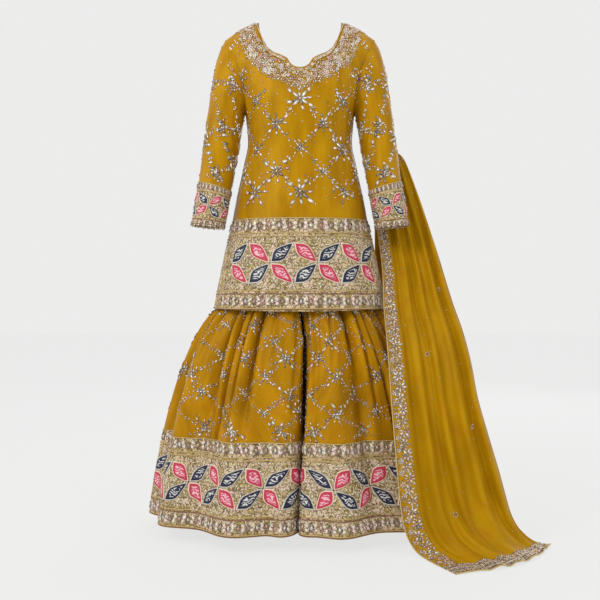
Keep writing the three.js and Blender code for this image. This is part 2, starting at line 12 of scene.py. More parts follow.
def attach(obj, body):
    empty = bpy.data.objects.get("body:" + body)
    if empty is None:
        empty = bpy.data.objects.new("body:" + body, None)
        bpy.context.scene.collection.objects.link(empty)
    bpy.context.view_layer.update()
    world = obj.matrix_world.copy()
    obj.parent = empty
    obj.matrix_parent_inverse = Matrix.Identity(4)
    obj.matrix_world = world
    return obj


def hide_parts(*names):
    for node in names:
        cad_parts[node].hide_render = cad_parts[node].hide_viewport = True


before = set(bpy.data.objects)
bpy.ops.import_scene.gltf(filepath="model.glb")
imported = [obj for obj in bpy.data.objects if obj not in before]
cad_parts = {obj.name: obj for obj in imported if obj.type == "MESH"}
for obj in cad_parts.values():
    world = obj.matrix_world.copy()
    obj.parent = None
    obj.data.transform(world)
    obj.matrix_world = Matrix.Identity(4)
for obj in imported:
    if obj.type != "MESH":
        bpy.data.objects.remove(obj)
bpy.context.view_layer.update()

bl_info = {
    "name": "Sharara suit",
    "version": (1, 0, 0),
    "blender": (4, 5, 0),
    "location": "3D View > Sidebar > Suit",
    "description": "Mustard silk tunic, gathered trousers and scarf with beaded embroidery",
    "category": "Add Mesh",
}

MM = 0.001


# Shapes of the garments, in millimetres, as in the part's source

def table(names, *rows):
    """Columns of numbers by name."""
    return dict(zip(names.split(), np.array(rows, float).T))


CHEST = table(
    "below front back",
    (0, 0, 0), (12, 17, 16), (30, 35, 33), (60, 54, 52), (115, 82, 74), (180, 111, 89),
    (236, 121, 93),
)
TUNIC = table(
    "z half front back fold",
    (-236, 144, 121, 93, 0), (-278, 139.5, 118, 88, 0), (-325, 137, 109, 82, 0.5),
    (-375, 147, 109, 90, 1), (-425, 157.5, 117, 104, 2), (-478, 169, 125, 114, 3),
    (-528, 178, 131, 124, 4), (-610, 198, 145, 139, 5), (-708, 218, 159, 153, 6),
    (-765, 228, 165, 160, 7),
)
TUNIC_FOLDS = ((-0.7, 0.12, 1), (-0.3, 0.13, 0.7), (0.12, 0.12, 0.5), (0.6, 0.12, 0.9))
NOTCH = table(
    "across top",
    (-0.195, -117), (-0.165, -129), (-0.1, -142), (0, -147), (0.1, -142), (0.165, -129),
    (0.195, -117),
)
FRONT_NECK = table(
    "across top",
    (0.195, -117), (0.28, -107), (0.37, -97), (0.465, -72), (0.53, -35), (0.59, 0),
)
BACK_NECK = table(
    "across top",
    (-0.15, -104), (0, -108), (0.15, -104), (0.3, -89), (0.435, -63), (0.53, -30), (0.59, 0),
)
SHOULDER_LINE = table(
    "across top",
    (0.59, 0), (0.7, -8.5), (0.8, -17.5), (0.89, -29), (0.96, -39.4), (1, -45),
)
NECK_SHARE, NOTCH_SHARE = 0.59, 0.195
ARMPIT_X, ARMPIT_Z, SHOULDER_X, SHOULDER_Z = 144, -236, 200, -45
ARMHOLE_DEPTH, ARMHOLE_BOW = 48, 14
TUNIC_BORDER_TOP, TUNIC_HEM = -528, -765
SLEEVE = table(
    "place outX outZ inX inZ y depth bow",
    (0, 200, -45, 146.5, -236, 0, 50, 14), (1, 214, -76, 149, -252, -1, 53, 8),
    (2, 226, -120, 152.5, -276, -3, 54, 3), (3, 236, -180, 158, -312, -7, 53, 0),
    (4, 244, -240, 163, -350, -12, 51, 0), (5, 255, -330, 171, -396, -24, 49, 0),
    (6, 265, -428, 181, -452, -40, 47, 0), (7, 273, -484, 189, -500, -49, 46, 0),
    (8, 281, -541, 198, -549, -56, 45, 0),
)
CUFF_PLACE, SLEEVE_END = 6, 8
LEGS = table(
    "z half front back fine broad",
    (-710.1, 204, 146, 140, 2, 0), (-756, 219, 156, 151, 4, 0), (-769, 236, 162, 158, 6, 1),
    (-800, 262, 187, 181, 10, 3), (-850, 290, 208, 200, 9, 7), (-920, 319, 229, 219, 6, 11),
    (-1000, 344, 247, 235, 4, 14), (-1080, 364, 260, 247, 2, 15), (-1145, 376, 268, 255, 1, 16),
    (-1220, 390, 278, 264, 0, 17), (-1301, 400, 286, 271, 0, 18),
)
LEG_TOP, LEG_BORDER_TOP, LEG_HEM = -710.1, -1080, -1301
SCARF = table(
    "row lx ly lz rx ry rz tilt depth spread bulge",
    (0, 262, 230, -1130, 402, 112, -1130, 2, 0.8, 0, 0),
    (1, 250, 216, -1060, 386, 104, -1060, 2, 0.8, 0, 0),
    (2, 236, 196, -960, 362, 100, -960, 2, 0.8, 0, 0),
    (3, 222, 166, -850, 332, 88, -850, 2, 0.8, 0, 0),
    (4, 212, 118, -740, 304, 64, -740, 2, 0.7, 0, 0),
    (5, 208, 82, -600, 292, 54, -600, 2, 0.6, 0, 0),
    (6, 206, 68, -450, 288, 50, -450, 2, 0.5, 0, 0),
    (7, 208, 58, -360, 279, 48, -366, 2, 0.25, 0, 0),
    (8, 213, 46, -333, 264, 42, -338, 1.7, 0.1, 0, 0),
    (9, 213, 39.5, -329, 263, 35.5, -334, 1, 0.08, 0, 0),
    (10, 213, 33, -333, 264, 29, -338, 0.3, 0.1, 0, 0),
    (11, 205, 30.9, -352, 281, 22.4, -358, 0, 0.2, 0, 0),
    (12, 203, 26, -420, 301, 6, -412, 0, 0.5, 0, 0),
    (13, 205, 13, -500, 331, -6, -500, 0, 0.8, 0, 0),
    (14, 211, 0, -575, 354, -22, -578, 0, 0.9, 0, 0),
    (15, 216, -50, -660, 374, -52, -660, 0, 1, 0, 0),
    (16, 214, -112, -757, 392, -92, -740, 0.05, 1, 0, 0),
    (17, 214, -182, -830, 410, -140, -812, 0.08, 1.1, 0, 0),
    (18, 216, -222, -900, 424, -180, -890, 0.05, 1.2, 0, 0),
    (19, 219, -252, -985, 436, -205, -975, 0.03, 1.3, 0, 0),
    (20, 226, -275, -1094, 457, -222, -1060, 0, 1.4, 0, 0),
    (21, 234, -290, -1200, 481, -230, -1145, 0, 1.4, 0, 0),
    (22, 246, -298, -1275, 500, -234, -1205, 0.1, 1.3, 0.1, 5),
    (23, 268, -308, -1318, 522, -236, -1252, 0.35, 1, 0.4, 14),
    (24, 294, -336, -1334, 552, -230, -1292, 0.7, 0.9, 0.7, 26),
    (25, 315, -385, -1334, 584, -216, -1320, 0.95, 0.7, 0.9, 38),
    (26, 340, -440, -1334, 612, -200, -1333, 1, 0.6, 1, 48),
)
SCARF_FOLDS = table(
    "line along out flatAlong flatOut",
    (0, 0, 0, 0, 0), (1, 0.08, 4, 0.07, 3), (2, 0.17, 7, 0.14, 4), (3, 0.26, -7, 0.22, 1),
    (4, 0.36, 8, 0.3, 9), (5, 0.45, -8, 0.38, 2), (6, 0.56, 9, 0.46, 12), (7, 0.65, -6, 0.55, 2),
    (8, 0.76, 8, 0.63, 10), (9, 0.86, -5, 0.72, 2), (10, 0.95, 3, 0.8, 7), (11, 1, -7, 0.87, 2),
    (12, 0.97, -19, 0.92, 4), (13, 0.84, -25, 0.96, 2), (14, 0.7, -24, 1, 0),
)
SCARF_END_ROW, SCARF_LAST_ROW = 25, 26
BEADED_NECK = table(
    "x z",
    (0, -202), (22, -190), (44, -178), (83, -165), (112, -138), (135, -114), (150, -80),
    (158, -40), (162, 2),
)
FLOOR_Z = -1336
INSEAM_X, INSEAM_PER_FOLD, INSEAM_CORNER = 2.5, 0.3, 34

# Grid lines of each cloth, then how far silk runs under a border and a border lies over it
PANEL_COLUMNS, BODICE_ROWS, SKIRT_ROWS, HEM_ROWS = 121, 48, 50, 36
SLEEVE_COLUMNS, SLEEVE_ROWS, CUFF_ROWS = 73, 70, 30
LEG_COLUMNS, LEG_ROWS, LEG_BORDER_ROWS = 320, 40, 22
WAIST_COLUMNS, WAIST_ROWS = 61, 24
SCARF_ROWS, SCARF_COLUMNS, SCARF_SIDE_COLUMNS = 150, 85, 11
SCARF_END_ROWS, SCARF_END_COLUMNS = 16, 140
SILK_UNDER, BORDER_LIFT, SCARF_BORDER_LIFT = 8, 0.9 * MM, 0.5

FACES = ((-1, "front"), (1, "back"))
SIDES = ((-1, "right"), (1, "left"))
TUNIC_HEART = (0, 0, -0.5)
SEEDS = {
    "tunic": 10, "sleeve": 20, "neck": 40, "hem": 50, "leg_border": 60, "cuff": 70, "leg": 80,
    "scarf_side": 90, "scarf_end": 91, "scarf": 92,
}


def smooth(rows, key, name, at):
    """Value of a column on a smooth curve through the rows of a table."""
    x, y = rows[key], rows[name]
    if x[0] > x[-1]:
        x, y = x[::-1], y[::-1]
    at = np.clip(at, x[0], x[-1])
    index = np.arange(len(x))
    before, after = np.maximum(index - 1, 0), np.minimum(index + 1, len(x) - 1)
    slope = (y[after] - y[before]) / (x[after] - x[before])
    row = np.clip(np.searchsorted(x, at) - 1, 0, len(x) - 2)
    span = x[row + 1] - x[row]
    t = (at - x[row]) / span
    lower = (2 * t**3 - 3 * t**2 + 1) * y[row] + (t**3 - 2 * t**2 + t) * slope[row] * span
    upper = (3 * t**2 - 2 * t**3) * y[row + 1] + (t**3 - t**2) * slope[row + 1] * span
    return lower + upper


def unit(vectors):
    return vectors / np.maximum(np.linalg.norm(vectors, axis=-1, keepdims=True), 1e-12)


def ease(value, low, high):
    """0 below low, 1 above high, and a smooth step between them."""
    t = np.clip((value - low) / (high - low), 0, 1)
    return t * t * (3 - 2 * t)


def arc_along(points, axis):
    """Length run along an axis of a grid of points, from its start."""
    steps = np.linalg.norm(np.diff(points, axis=axis), axis=-1)
    runs = np.cumsum(steps, axis=axis)
    start = np.zeros_like(np.take(runs, [0], axis=axis))
    return np.concatenate([start, runs], axis=axis)


class Cloth:
    """A grid of points in metres, with a place on the flat cloth and a normal at each."""

    def __init__(self, points, flat, heart, closed=False, lift=0.0):
        self.points, self.flat, self.closed = points, flat, closed
        self.heart = np.array(heart, float)
        self.normals = self.find_normals()
        if lift:
            self.points = points + self.normals * lift
        self.tree = None

    def find_normals(self):
        across = self.step(1)
        down = self.step(0)
        normals = unit(np.cross(across, down))
        outward = np.sum(normals * (self.points - self.heart), axis=-1).mean()
        return normals if outward > 0 else -normals

    def step(self, axis):
        """Change of the points from one grid line to the next."""
        moved = np.gradient(self.points, axis=axis)
        if self.closed and axis == 1:
            seam = (self.points[:, 1] - self.points[:, -2]) / 2
            moved[:, 0] = moved[:, -1] = seam
        return moved

    def find(self, place):
        """Grid row and column, as fractions, of places on the flat cloth."""
        if self.tree is None:
            flat = self.flat.reshape(-1, 2)
            self.tree = KDTree(len(flat))
            for index, (u, v) in enumerate(flat):
                self.tree.insert((u, v, 0), index)
            self.tree.balance()
            self.flat_across = np.gradient(self.flat, axis=1)
            self.flat_down = np.gradient(self.flat, axis=0)
        rows, columns = self.points.shape[:2]
        found = np.empty((len(place), 2))
        for i, (u, v) in enumerate(place):
            index = self.tree.find((u, v, 0))[1]
            r, c = divmod(index, columns)
            away = np.array((u, v)) - self.flat[r, c]
            (a, b), (d, e) = self.flat_across[r, c], self.flat_down[r, c]
            size = a * e - b * d
            size = size if abs(size) > 1e-12 else 1e-12
            column_part = (away[0] * e - away[1] * d) / size
            row_part = (away[1] * a - away[0] * b) / size
            found[i] = r + np.clip(row_part, -1, 1), c + np.clip(column_part, -1, 1)
        return np.clip(found, 0, (rows - 1, columns - 1))

    def covers(self, place, margin):
        """True where the flat cloth has a point near the place."""
        self.find(place[:1])
        reach = max(np.abs(self.flat_across).max(), np.abs(self.flat_down).max()) + margin
        return np.array([self.tree.find((u, v, 0))[2] < reach for u, v in place])

    def pick(self, grid, found):
        """Values of a grid at fractional rows and columns."""
        rows, columns = grid.shape[:2]
        r = np.clip(np.floor(found[:, 0]).astype(int), 0, rows - 2)
        c = np.clip(np.floor(found[:, 1]).astype(int), 0, columns - 2)
        s, t = (found[:, 0] - r)[:, None], (found[:, 1] - c)[:, None]
        upper = grid[r, c] * (1 - t) + grid[r, c + 1] * t
        lower = grid[r + 1, c] * (1 - t) + grid[r + 1, c + 1] * t
        return upper * (1 - s) + lower * s

    def spots(self, found):
        """Point, direction across, direction down and normal at grid places."""
        point = self.pick(self.points, found)
        normal = unit(self.pick(self.normals, found))
        across = self.pick(self.step(1), found)
        across = unit(across - normal * np.sum(across * normal, axis=1, keepdims=True))
        down = np.cross(normal, across)
        wanted = self.pick(self.step(0), found)
        down *= np.sign(np.sum(down * wanted, axis=1, keepdims=True))
        return point, across, down, normal

    def row_at(self, down, share=0.5):
        """Grid row where a column of the cloth reaches a distance down the flat cloth."""
        line = self.flat[:, int(share * (self.flat.shape[1] - 1)), 1]
        return np.interp(down, line, np.arange(len(line)))

    def flat_at(self, share, down):
        """Place on the flat cloth at a share of its width and a distance down it."""
        found = np.array([[self.row_at(down), (share % 1) * (self.flat.shape[1] - 1)]])
        return self.pick(self.flat, found)[0]

    def sizes(self):
        """Width, length and area of the flat cloth, from the lengths of its threads."""
        width = arc_along(self.points, 1)[:, -1].max()
        length = arc_along(self.points, 0)[-1].max()
        across = np.diff(self.points, axis=1)[:-1]
        down = np.diff(self.points, axis=0)[:, :-1]
        area = np.linalg.norm(np.cross(across, down), axis=-1).sum()
        return float(width), float(length), float(min(area, width * length))


def oval(across):
    return np.sqrt(np.clip(1 - np.abs(across) ** 2.3, 0, 1))


def edge_top(across, face):
    """Height of the upper edge of the front or back at a share of the shoulder width."""
    away = np.abs(across)
    neck = FRONT_NECK if face < 0 else BACK_NECK
    top = np.where(away < NECK_SHARE, smooth(neck, "across", "top", away),
                   smooth(SHOULDER_LINE, "across", "top", away))
    if face < 0:
        top = np.where(away < NOTCH_SHARE, smooth(NOTCH, "across", "top", across), top)
    return top


def bodice(across, angle, face):
    """Points above the armpits: angle 0 runs through the shoulder, half a turn the armpit."""
    lift, side = (1 + np.cos(angle)) / 2, np.sin(angle)
    hole_x = ARMPIT_X + (SHOULDER_X - ARMPIT_X) * lift - ARMHOLE_BOW * side**2
    hole_y = face * ARMHOLE_DEPTH * side
    rise = (edge_top(across, face) - ARMPIT_Z) / (SHOULDER_Z - ARMPIT_Z)
    z = ARMPIT_Z + (SHOULDER_Z - ARMPIT_Z) * lift * rise
    x = hole_x * across
    line = smooth(SHOULDER_LINE, "across", "top", np.abs(x) / SHOULDER_X)
    below = np.maximum(0, line - z)
    middle = face * smooth(CHEST, "below", "front" if face < 0 else "back", below)
    return np.stack([x, hole_y + (middle - hole_y) * oval(across), z], axis=-1)


def skirt(across, z, face):
    """Points of the tunic from the armpits down."""
    half, fold = smooth(TUNIC, "z", "half", z), smooth(TUNIC, "z", "fold", z)
    depth = smooth(TUNIC, "z", "front" if face < 0 else "back", z)
    folds = sum(share * np.exp(-(((across - place) / width) ** 2))
                for place, width, share in TUNIC_FOLDS)
    ripple = np.sin(9 * across + z / 90 + face) * np.exp(-(((z + 345) / 60) ** 2))
    y = face * (depth * oval(across) + folds * fold + 1.2 * ripple * oval(across))
    rise = 8 * (np.maximum(0, ARMPIT_Z - z) / (ARMPIT_Z - TUNIC_HEM)) ** 2
    return np.stack([half * across, y, z + rise * across**2], axis=-1)


def fine_across(count):
    """Shares across, dense at the sides, with the corners of the neck among them."""
    across = np.sin(np.linspace(-1, 1, count) * math.pi / 2)
    for corner in (NECK_SHARE, NOTCH_SHARE):
        for side in (-1, 1):
            across[np.abs(across - side * corner).argmin()] = side * corner
    return across


@lru_cache(maxsize=None)
def tunic_panel(face, part):
    """Front (face -1) or back of the tunic: its silk or the border at its hem."""
    across, lift = fine_across(PANEL_COLUMNS), 0
    if part == "silk":
        even = np.linspace(0, 1, BODICE_ROWS)[:, None]
        angle = (math.pi * even + np.arccos(1 - 2 * even)) / 2
        z = np.linspace(ARMPIT_Z, TUNIC_BORDER_TOP - SILK_UNDER, SKIRT_ROWS)[1:, None]
        points = np.concatenate([bodice(across[None], angle, face), skirt(across[None], z, face)])
        points = ironed(points, across)
    else:
        z = np.linspace(TUNIC_BORDER_TOP, TUNIC_HEM, HEM_ROWS)[:, None]
        points, lift = skirt(across[None], z, face), BORDER_LIFT
    points = points * MM
    runs = arc_along(points * (1, 1, 0), 1)
    runs -= runs[:, [PANEL_COLUMNS // 2]]
    flat = np.stack([runs, down_front(points[..., 2])], axis=-1)
    return Cloth(points, flat, TUNIC_HEART, lift=lift)


def ironed(points, across):
    """Takes out the crease where the bodice meets the skirt, but not at the side seams."""
    held = np.exp(-(((points[1:-1, :, 2] - ARMPIT_Z) / 26) ** 2)) * (1 - np.abs(across) ** 10)
    for _ in range(90):
        middle = (points[:-2] + points[2:]) / 2
        points[1:-1, :, 1] += (middle - points[1:-1])[..., 1] * held * 0.9
    return points


def down_front(z):
    """Distance down the middle of the front from the neck point's height."""
    heights = np.linspace(0, TUNIC_HEM, 400)
    depth = np.where(heights > ARMPIT_Z, smooth(CHEST, "below", "front", -heights),
                     smooth(TUNIC, "z", "front", heights))
    runs = arc_along(np.stack([heights, depth], axis=-1), 0)
    return np.interp(-np.asarray(z) / MM, -heights, runs) * MM


@lru_cache(maxsize=None)
def sleeve_cloth(side, part):
    """A sleeve or the border of its cuff, closed along the underarm seam."""
    if part == "silk":
        place = np.linspace(0, CUFF_PLACE + 0.1, SLEEVE_ROWS)[:, None]
    else:
        place = np.linspace(CUFF_PLACE, SLEEVE_END, CUFF_ROWS)[:, None]
    angle = np.linspace(-math.pi, math.pi, SLEEVE_COLUMNS)[None]
    row = {name: smooth(SLEEVE, "place", name, place) for name in SLEEVE}
    middle_x, middle_z = (row["outX"] + row["inX"]) / 2, (row["outZ"] + row["inZ"]) / 2
    x = middle_x + (row["outX"] - middle_x) * np.cos(angle) - row["bow"] * np.sin(angle) ** 2
    z = middle_z + (row["outZ"] - middle_z) * np.cos(angle)
    y = row["y"] - row["depth"] * np.sin(angle)
    points = np.stack(np.broadcast_arrays(x * side, y, z), axis=-1)
    if part == "silk":
        head = armhole(angle[0], side)
        near = (1 - ease(place, 0, 0.9))[..., None]
        points = points * (1 - near) + (points - points[:1] + head) * near
    points = points * MM
    normals = Cloth(points, None, points.mean(axis=(0, 1)), closed=True).normals
    points = points + normals * (sleeve_creases(place, angle, side) * MM)[..., None]
    around = arc_along(points, 1)
    around -= around[:, [SLEEVE_COLUMNS // 2]]
    middle = points.mean(axis=1)
    along = arc_along(np.stack([middle, middle], axis=1), 0)[:, :1] + 0 * around
    return Cloth(points, np.stack([around * side, along], axis=-1), points.mean(axis=(0, 1)),
                 closed=True, lift=0 if part == "silk" else BORDER_LIFT)


def armhole(angle, side):
    """The armhole edge of front and back, in the order of a sleeve's ring."""
    lift, out = (1 + np.cos(angle)) / 2, np.sin(angle)
    x = ARMPIT_X + (SHOULDER_X - ARMPIT_X) * lift - ARMHOLE_BOW * out**2
    y = -(ARMHOLE_DEPTH + 1) * out
    z = ARMPIT_Z + (SHOULDER_Z - ARMPIT_Z) * lift + 0.8 * np.cos(angle)
    return np.stack([(x - 1.8) * side, y, z], axis=-1)


def sleeve_creases(place, angle, side):
    """Soft creases at the bend of the elbow and under the shoulder."""
    elbow = np.exp(-(((place - 4.4) / 0.9) ** 2)) * np.sin(7.5 * place + 1.7 * np.cos(angle + 0.6))
    upper = np.exp(-(((place - 1.3) / 0.6) ** 2)) * np.sin(4 * place + 3 * angle) * 0.6
    return (1.9 * elbow + upper) * (0.55 - 0.45 * np.cos(angle - 0.4 * side))


def even_along(line, count):
    """Points at even distances along an open line."""
    runs = arc_along(line, 0)
    target = np.linspace(0, runs[-1], count + 1)
    return np.stack([np.interp(target, runs, line[:, i]) for i in range(line.shape[1])], axis=-1)


def leg_outline(half, depth, deepest, face):
    """Half the outline of a leg, from its side seam round to the inseam."""
    half, depth = half - deepest, depth - deepest
    inner, corner = INSEAM_X + deepest * INSEAM_PER_FOLD, INSEAM_CORNER
    across = np.cos(np.linspace(0, math.pi / 2, 160))
    across = across[half * across > inner + corner]
    curve = np.stack([half * across, face * depth * oval(across)], axis=-1)
    turn = np.linspace(0, math.pi / 2, 14)
    bend_x = inner + corner - corner * np.sin(turn)
    bend_y = face * (depth - corner + corner * np.cos(turn))
    bend = np.stack([bend_x, bend_y], axis=-1)
    return np.concatenate([curve, bend, [(inner, 0)]])


def leg_wave(round_share, fine, broad):
    """Uneven gathers: a fine wave that fades into one of half its number."""
    uneven = (round_share + 0.011 * np.sin(6 * math.pi * round_share + 0.7)
              + 0.006 * np.sin(10 * math.pi * round_share + 2.1))
    return fine * np.sin(32 * math.pi * uneven) + broad * np.sin(16 * math.pi * uneven + 0.9)


def leg_creases(round_share, z):
    """Narrow deep creases that end at different heights, and a few that fade near the hem."""
    uneven = round_share + 0.014 * np.sin(10 * math.pi * round_share + 1)
    narrow, long = ((0.5 + 0.5 * np.sin(2 * math.pi * count * uneven + start)) ** 6
                    for count, start in ((27, 0), (9, 1)))
    ends = -950 - 110 * np.sin(37 * round_share + 2) - 45 * np.sin(91 * round_share)
    held = ease(z - ends, -90, 100)
    return -22 * held * narrow - (9 + 19 * ease(z, -1160, -920)) * long * ease(z, -1290, -1180)


def leg_ring(z, side, columns):
    row = {name: float(smooth(LEGS, "z", name, z)) for name in LEGS}
    deepest, half = row["fine"] + row["broad"], columns // 2
    front = even_along(leg_outline(row["half"], row["front"], deepest, -1), half)
    back = even_along(leg_outline(row["half"], row["back"], deepest, 1), half)[::-1]
    ring = np.concatenate([front, back[1:-1]])
    along = unit(np.roll(ring, -1, axis=0) - np.roll(ring, 1, axis=0))
    out = np.stack([along[:, 1], -along[:, 0]], axis=-1)
    out *= np.sign(np.sum(out * (ring - (row["half"] / 2, 0)), axis=1).mean())
    count = len(ring)
    share = 1 - 0.65 * (1 - ease(ring[:, 0], 20, 90))
    turn = np.arange(count) / count
    round_share = turn if side > 0 else 1.37 - turn
    wave = leg_wave(round_share, row["fine"], row["broad"]) * share
    wave += leg_creases(round_share, z) * share
    moved = ring + out * wave[:, None]
    moved = np.concatenate([moved, moved[:1]])
    x = moved[:, 0] * side + inseam_sway(moved, z)
    return np.stack([x, moved[:, 1], np.full(len(moved), z)], axis=-1)


def inseam_sway(points, z):
    """Both inseams lean one way together, so that no light shows between the legs."""
    reach = (INSEAM_X + INSEAM_PER_FOLD * LEGS["broad"].max() + 6) * ease(-z, 700, 860)
    return reach * np.cos((points[:, 1] + 150) / 38) * (1 - ease(points[:, 0], 24, 110))


@lru_cache(maxsize=None)
def leg_cloth(side, part):
    """A leg or its border, closed at the side seam."""
    if part == "silk":
        heights, lift = np.linspace(LEG_TOP, LEG_BORDER_TOP - SILK_UNDER, LEG_ROWS), 0
    else:
        heights, lift = np.linspace(LEG_BORDER_TOP, LEG_HEM, LEG_BORDER_ROWS), BORDER_LIFT
    points = np.array([leg_ring(z, side, LEG_COLUMNS) for z in heights]) * MM
    around = arc_along(points, 1)
    half = smooth(LEGS, "z", "half", heights)
    down = arc_along(np.stack([heights, half], axis=-1), 0) * MM
    flat = np.stack([around, np.broadcast_to(down[:, None], around.shape)], axis=-1)
    return Cloth(points, flat, (side * 0.18, 0, -1), closed=True, lift=lift)


def scarf_points(rows, lines):
    """Points of the scarf at fractional rows and fold lines of its tables."""
    row = {name: smooth(SCARF, "row", name, rows)[:, None] for name in SCARF}
    fold = {name: smooth(SCARF_FOLDS, "line", name, lines)[None] for name in SCARF_FOLDS}
    start = np.concatenate([row["lx"], row["ly"], row["lz"]], axis=1)
    width = np.concatenate([row["rx"], row["ry"], row["rz"]], axis=1) - start
    turn = row["tilt"] * math.pi / 2
    out = np.concatenate([0 * turn, -np.cos(turn), np.sin(turn)], axis=1)
    forward = unit(np.stack([width[:, 1], -width[:, 0], 0 * width[:, 0]], axis=1))
    along = fold["along"] * (1 - row["spread"]) + fold["flatAlong"] * row["spread"]
    height = (fold["out"] * (1 - row["spread"]) + fold["flatOut"] * row["spread"]) * row["depth"]
    points = start[:, None] + width[:, None] * along[..., None]
    points += out[:, None] * (height + scarf_creases(rows, lines, row))[..., None]
    points += forward[:, None] * (row["bulge"] * np.sin(math.pi * along))[..., None]
    points[..., 2] = np.maximum(points[..., 2], FLOOR_Z + 1.2)
    return points * MM


def scarf_creases(rows, lines, row):
    """Fine creases and two deep folds that wander down the scarf."""
    rows, lines = rows[:, None], lines[None]
    wander = lines + 0.35 * np.sin(rows * 0.45) + 0.2 * np.sin(rows * 0.9 + 1)
    inner = ease(lines, 1.6, 3) * (1 - ease(lines, 12, 14))
    hanging = np.clip((rows - 11) / 4, 0, 1) * np.clip((26 - rows) / 2, 0.25, 1)
    fine = 2.1 * np.sin(wander * 3.9) + 1.2 * np.sin(wander * 6.3 + rows * 0.3)
    folds = np.exp(-(((wander - 5.6) / 0.22) ** 2)) + np.exp(-(((wander - 9.4) / 0.26) ** 2))
    return (fine - 9 * folds) * inner * hanging


@lru_cache(maxsize=None)
def scarf_cloth(part):
    """The silk of the scarf, or its side or end border."""
    last, lines, lift = {
        "silk": (SCARF_END_ROW + 0.12, (1.9, 14, SCARF_COLUMNS), 0),
        "side": (SCARF_END_ROW + 0.05, (0, 2, SCARF_SIDE_COLUMNS), SCARF_BORDER_LIFT),
        "end": (SCARF_LAST_ROW, (0, 14, SCARF_END_COLUMNS), SCARF_BORDER_LIFT),
    }[part]
    first, count = (SCARF_END_ROW, SCARF_END_ROWS) if part == "end" else (0, SCARF_ROWS)
    points = scarf_points(np.linspace(first, last, count), np.linspace(*lines))
    across, down = arc_along(points, 1), arc_along(points, 0)
    down = np.broadcast_to(down.mean(axis=1, keepdims=True), across.shape)
    heart = (0.45, -0.3, -2) if part == "end" else (0.25, 0.02, -0.9)
    return Cloth(points, np.stack([across, down], axis=-1), heart, lift=lift * MM)


# Meshes

def finished(name, mesh, material, replaces=()):
    """Puts a mesh in the scene as a piece of the suit."""
    obj = bpy.data.objects.new(name, mesh)
    bpy.context.scene.collection.objects.link(obj)
    for one in material if isinstance(material, (list, tuple)) else [material]:
        mesh.materials.append(one)
    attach(obj, "root")
    if replaces:
        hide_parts(*replaces)
    return obj


def mesh_from(shape, name):
    """A mesh of a shape, which is freed."""
    mesh = bpy.data.meshes.new(name)
    shape.to_mesh(mesh)
    shape.free()
    return mesh


def grid_shape(points, flat):
    """A mesh over a grid of points, with its places on the flat cloth as UV map."""
    rows, columns = points.shape[:2]
    shape = bmesh.new()
    bmesh.ops.create_grid(shape, x_segments=columns - 1, y_segments=rows - 1, size=1)
    layer = shape.loops.layers.uv.new("UVMap")
    for vert, place in zip(shape.verts, points.reshape(-1, 3)):
        vert.co = place
    flat = flat.reshape(-1, 2)
    for face in shape.faces:
        face.smooth = True
        for loop in face.loops:
            loop[layer].uv = flat[loop.vert.index]
    shape.normal_update()
    return shape


def sew(name, cloth, material, replaces, thickness=1.2):
    """Makes a piece of cloth from a grid of points."""
    shape = grid_shape(cloth.points, cloth.flat)
    normals = cloth.normals.reshape(-1, 3)
    facing = sum(face.normal.dot(Vector(normals[face.verts[0].index])) for face in shape.faces)
    if facing < 0:
        bmesh.ops.reverse_faces(shape, faces=shape.faces)
    if cloth.closed:
        bmesh.ops.remove_doubles(shape, verts=shape.verts, dist=1e-6)
    obj = finished(name, mesh_from(shape, name), material, replaces)
    wall = obj.modifiers.new("thickness", "SOLIDIFY")
    wall.thickness, wall.offset = thickness * MM, -1
    width, length, area = cloth.sizes()


# Materials

class Value:
    """A node's output that sums are written with."""

    def __init__(self, shader, socket):
        self.shader, self.socket = shader, socket

    def math(self, operation, first, second):
        return self.shader.node("Math", {"operation": operation}, {0: first, 1: second})

    def __add__(self, other):
        return self.math("ADD", self, other)

    def __rsub__(self, other):
        return self.math("SUBTRACT", other, self)

    def __mul__(self, other):
        return self.math("MULTIPLY", self, other)

    def above(self, level, soft):
        """0 to 1 as the value passes a level."""
        return self.shader.node("MapRange", {"interpolation_type": "SMOOTHSTEP"}, {
            0: self, 1: level - soft, 2: level + soft, 3: 0.0, 4: 1.0})


class Shader:
    """A node material that is built from expressions."""

    def __init__(self, name):
        self.material = bpy.data.materials.new(name)
        self.material.use_nodes = True
        self.tree = self.material.node_tree
        self.surface = self.tree.nodes["Principled BSDF"]

    def node(self, kind, settings=None, inputs=None, output=0):
        made = self.tree.nodes.new("ShaderNode" + kind)
        for name, value in (settings or {}).items():
            setattr(made, name, value)
        for name, value in (inputs or {}).items():
            self.feed(made.inputs[name], value)
        return Value(self, made.outputs[output])

    def feed(self, socket, value):
        """Links a node's output, or sets a number, a vector or a colour in sRGB hex."""
        if isinstance(value, Value):
            self.tree.links.new(value.socket, socket)
        else:
            socket.default_value = paint(value) if isinstance(value, str) else value

    def set(self, **values):
        for name, value in values.items():
            self.feed(self.surface.inputs[name.replace("_", " ")], value)
        return self.material

    def mix(self, factor, first, second):
        return self.node("Mix", {"data_type": "RGBA"}, {0: factor, 6: first, 7: second}, 2)

    def noise(self, place, scale, stretch=(1, 1, 1), detail=2.0, output=0):
        at = self.node("Mapping", None, {"Vector": place, "Scale": stretch})
        return self.node("TexNoise", None, {"Vector": at, "Scale": scale, "Detail": detail}, output)

    def bump(self, height, strength, distance):
        return self.node("Bump", None, {
            "Height": height, "Strength": strength, "Distance": distance})


def paint(colour):
    """A colour written as sRGB hex, in the linear values that nodes take."""
    parts = [int(colour[i:i + 2], 16) / 255 for i in (1, 3, 5)]
    return tuple(c / 12.92 if c < 0.04045 else ((c + 0.055) / 1.055) ** 2.4 for c in parts) + (1,)


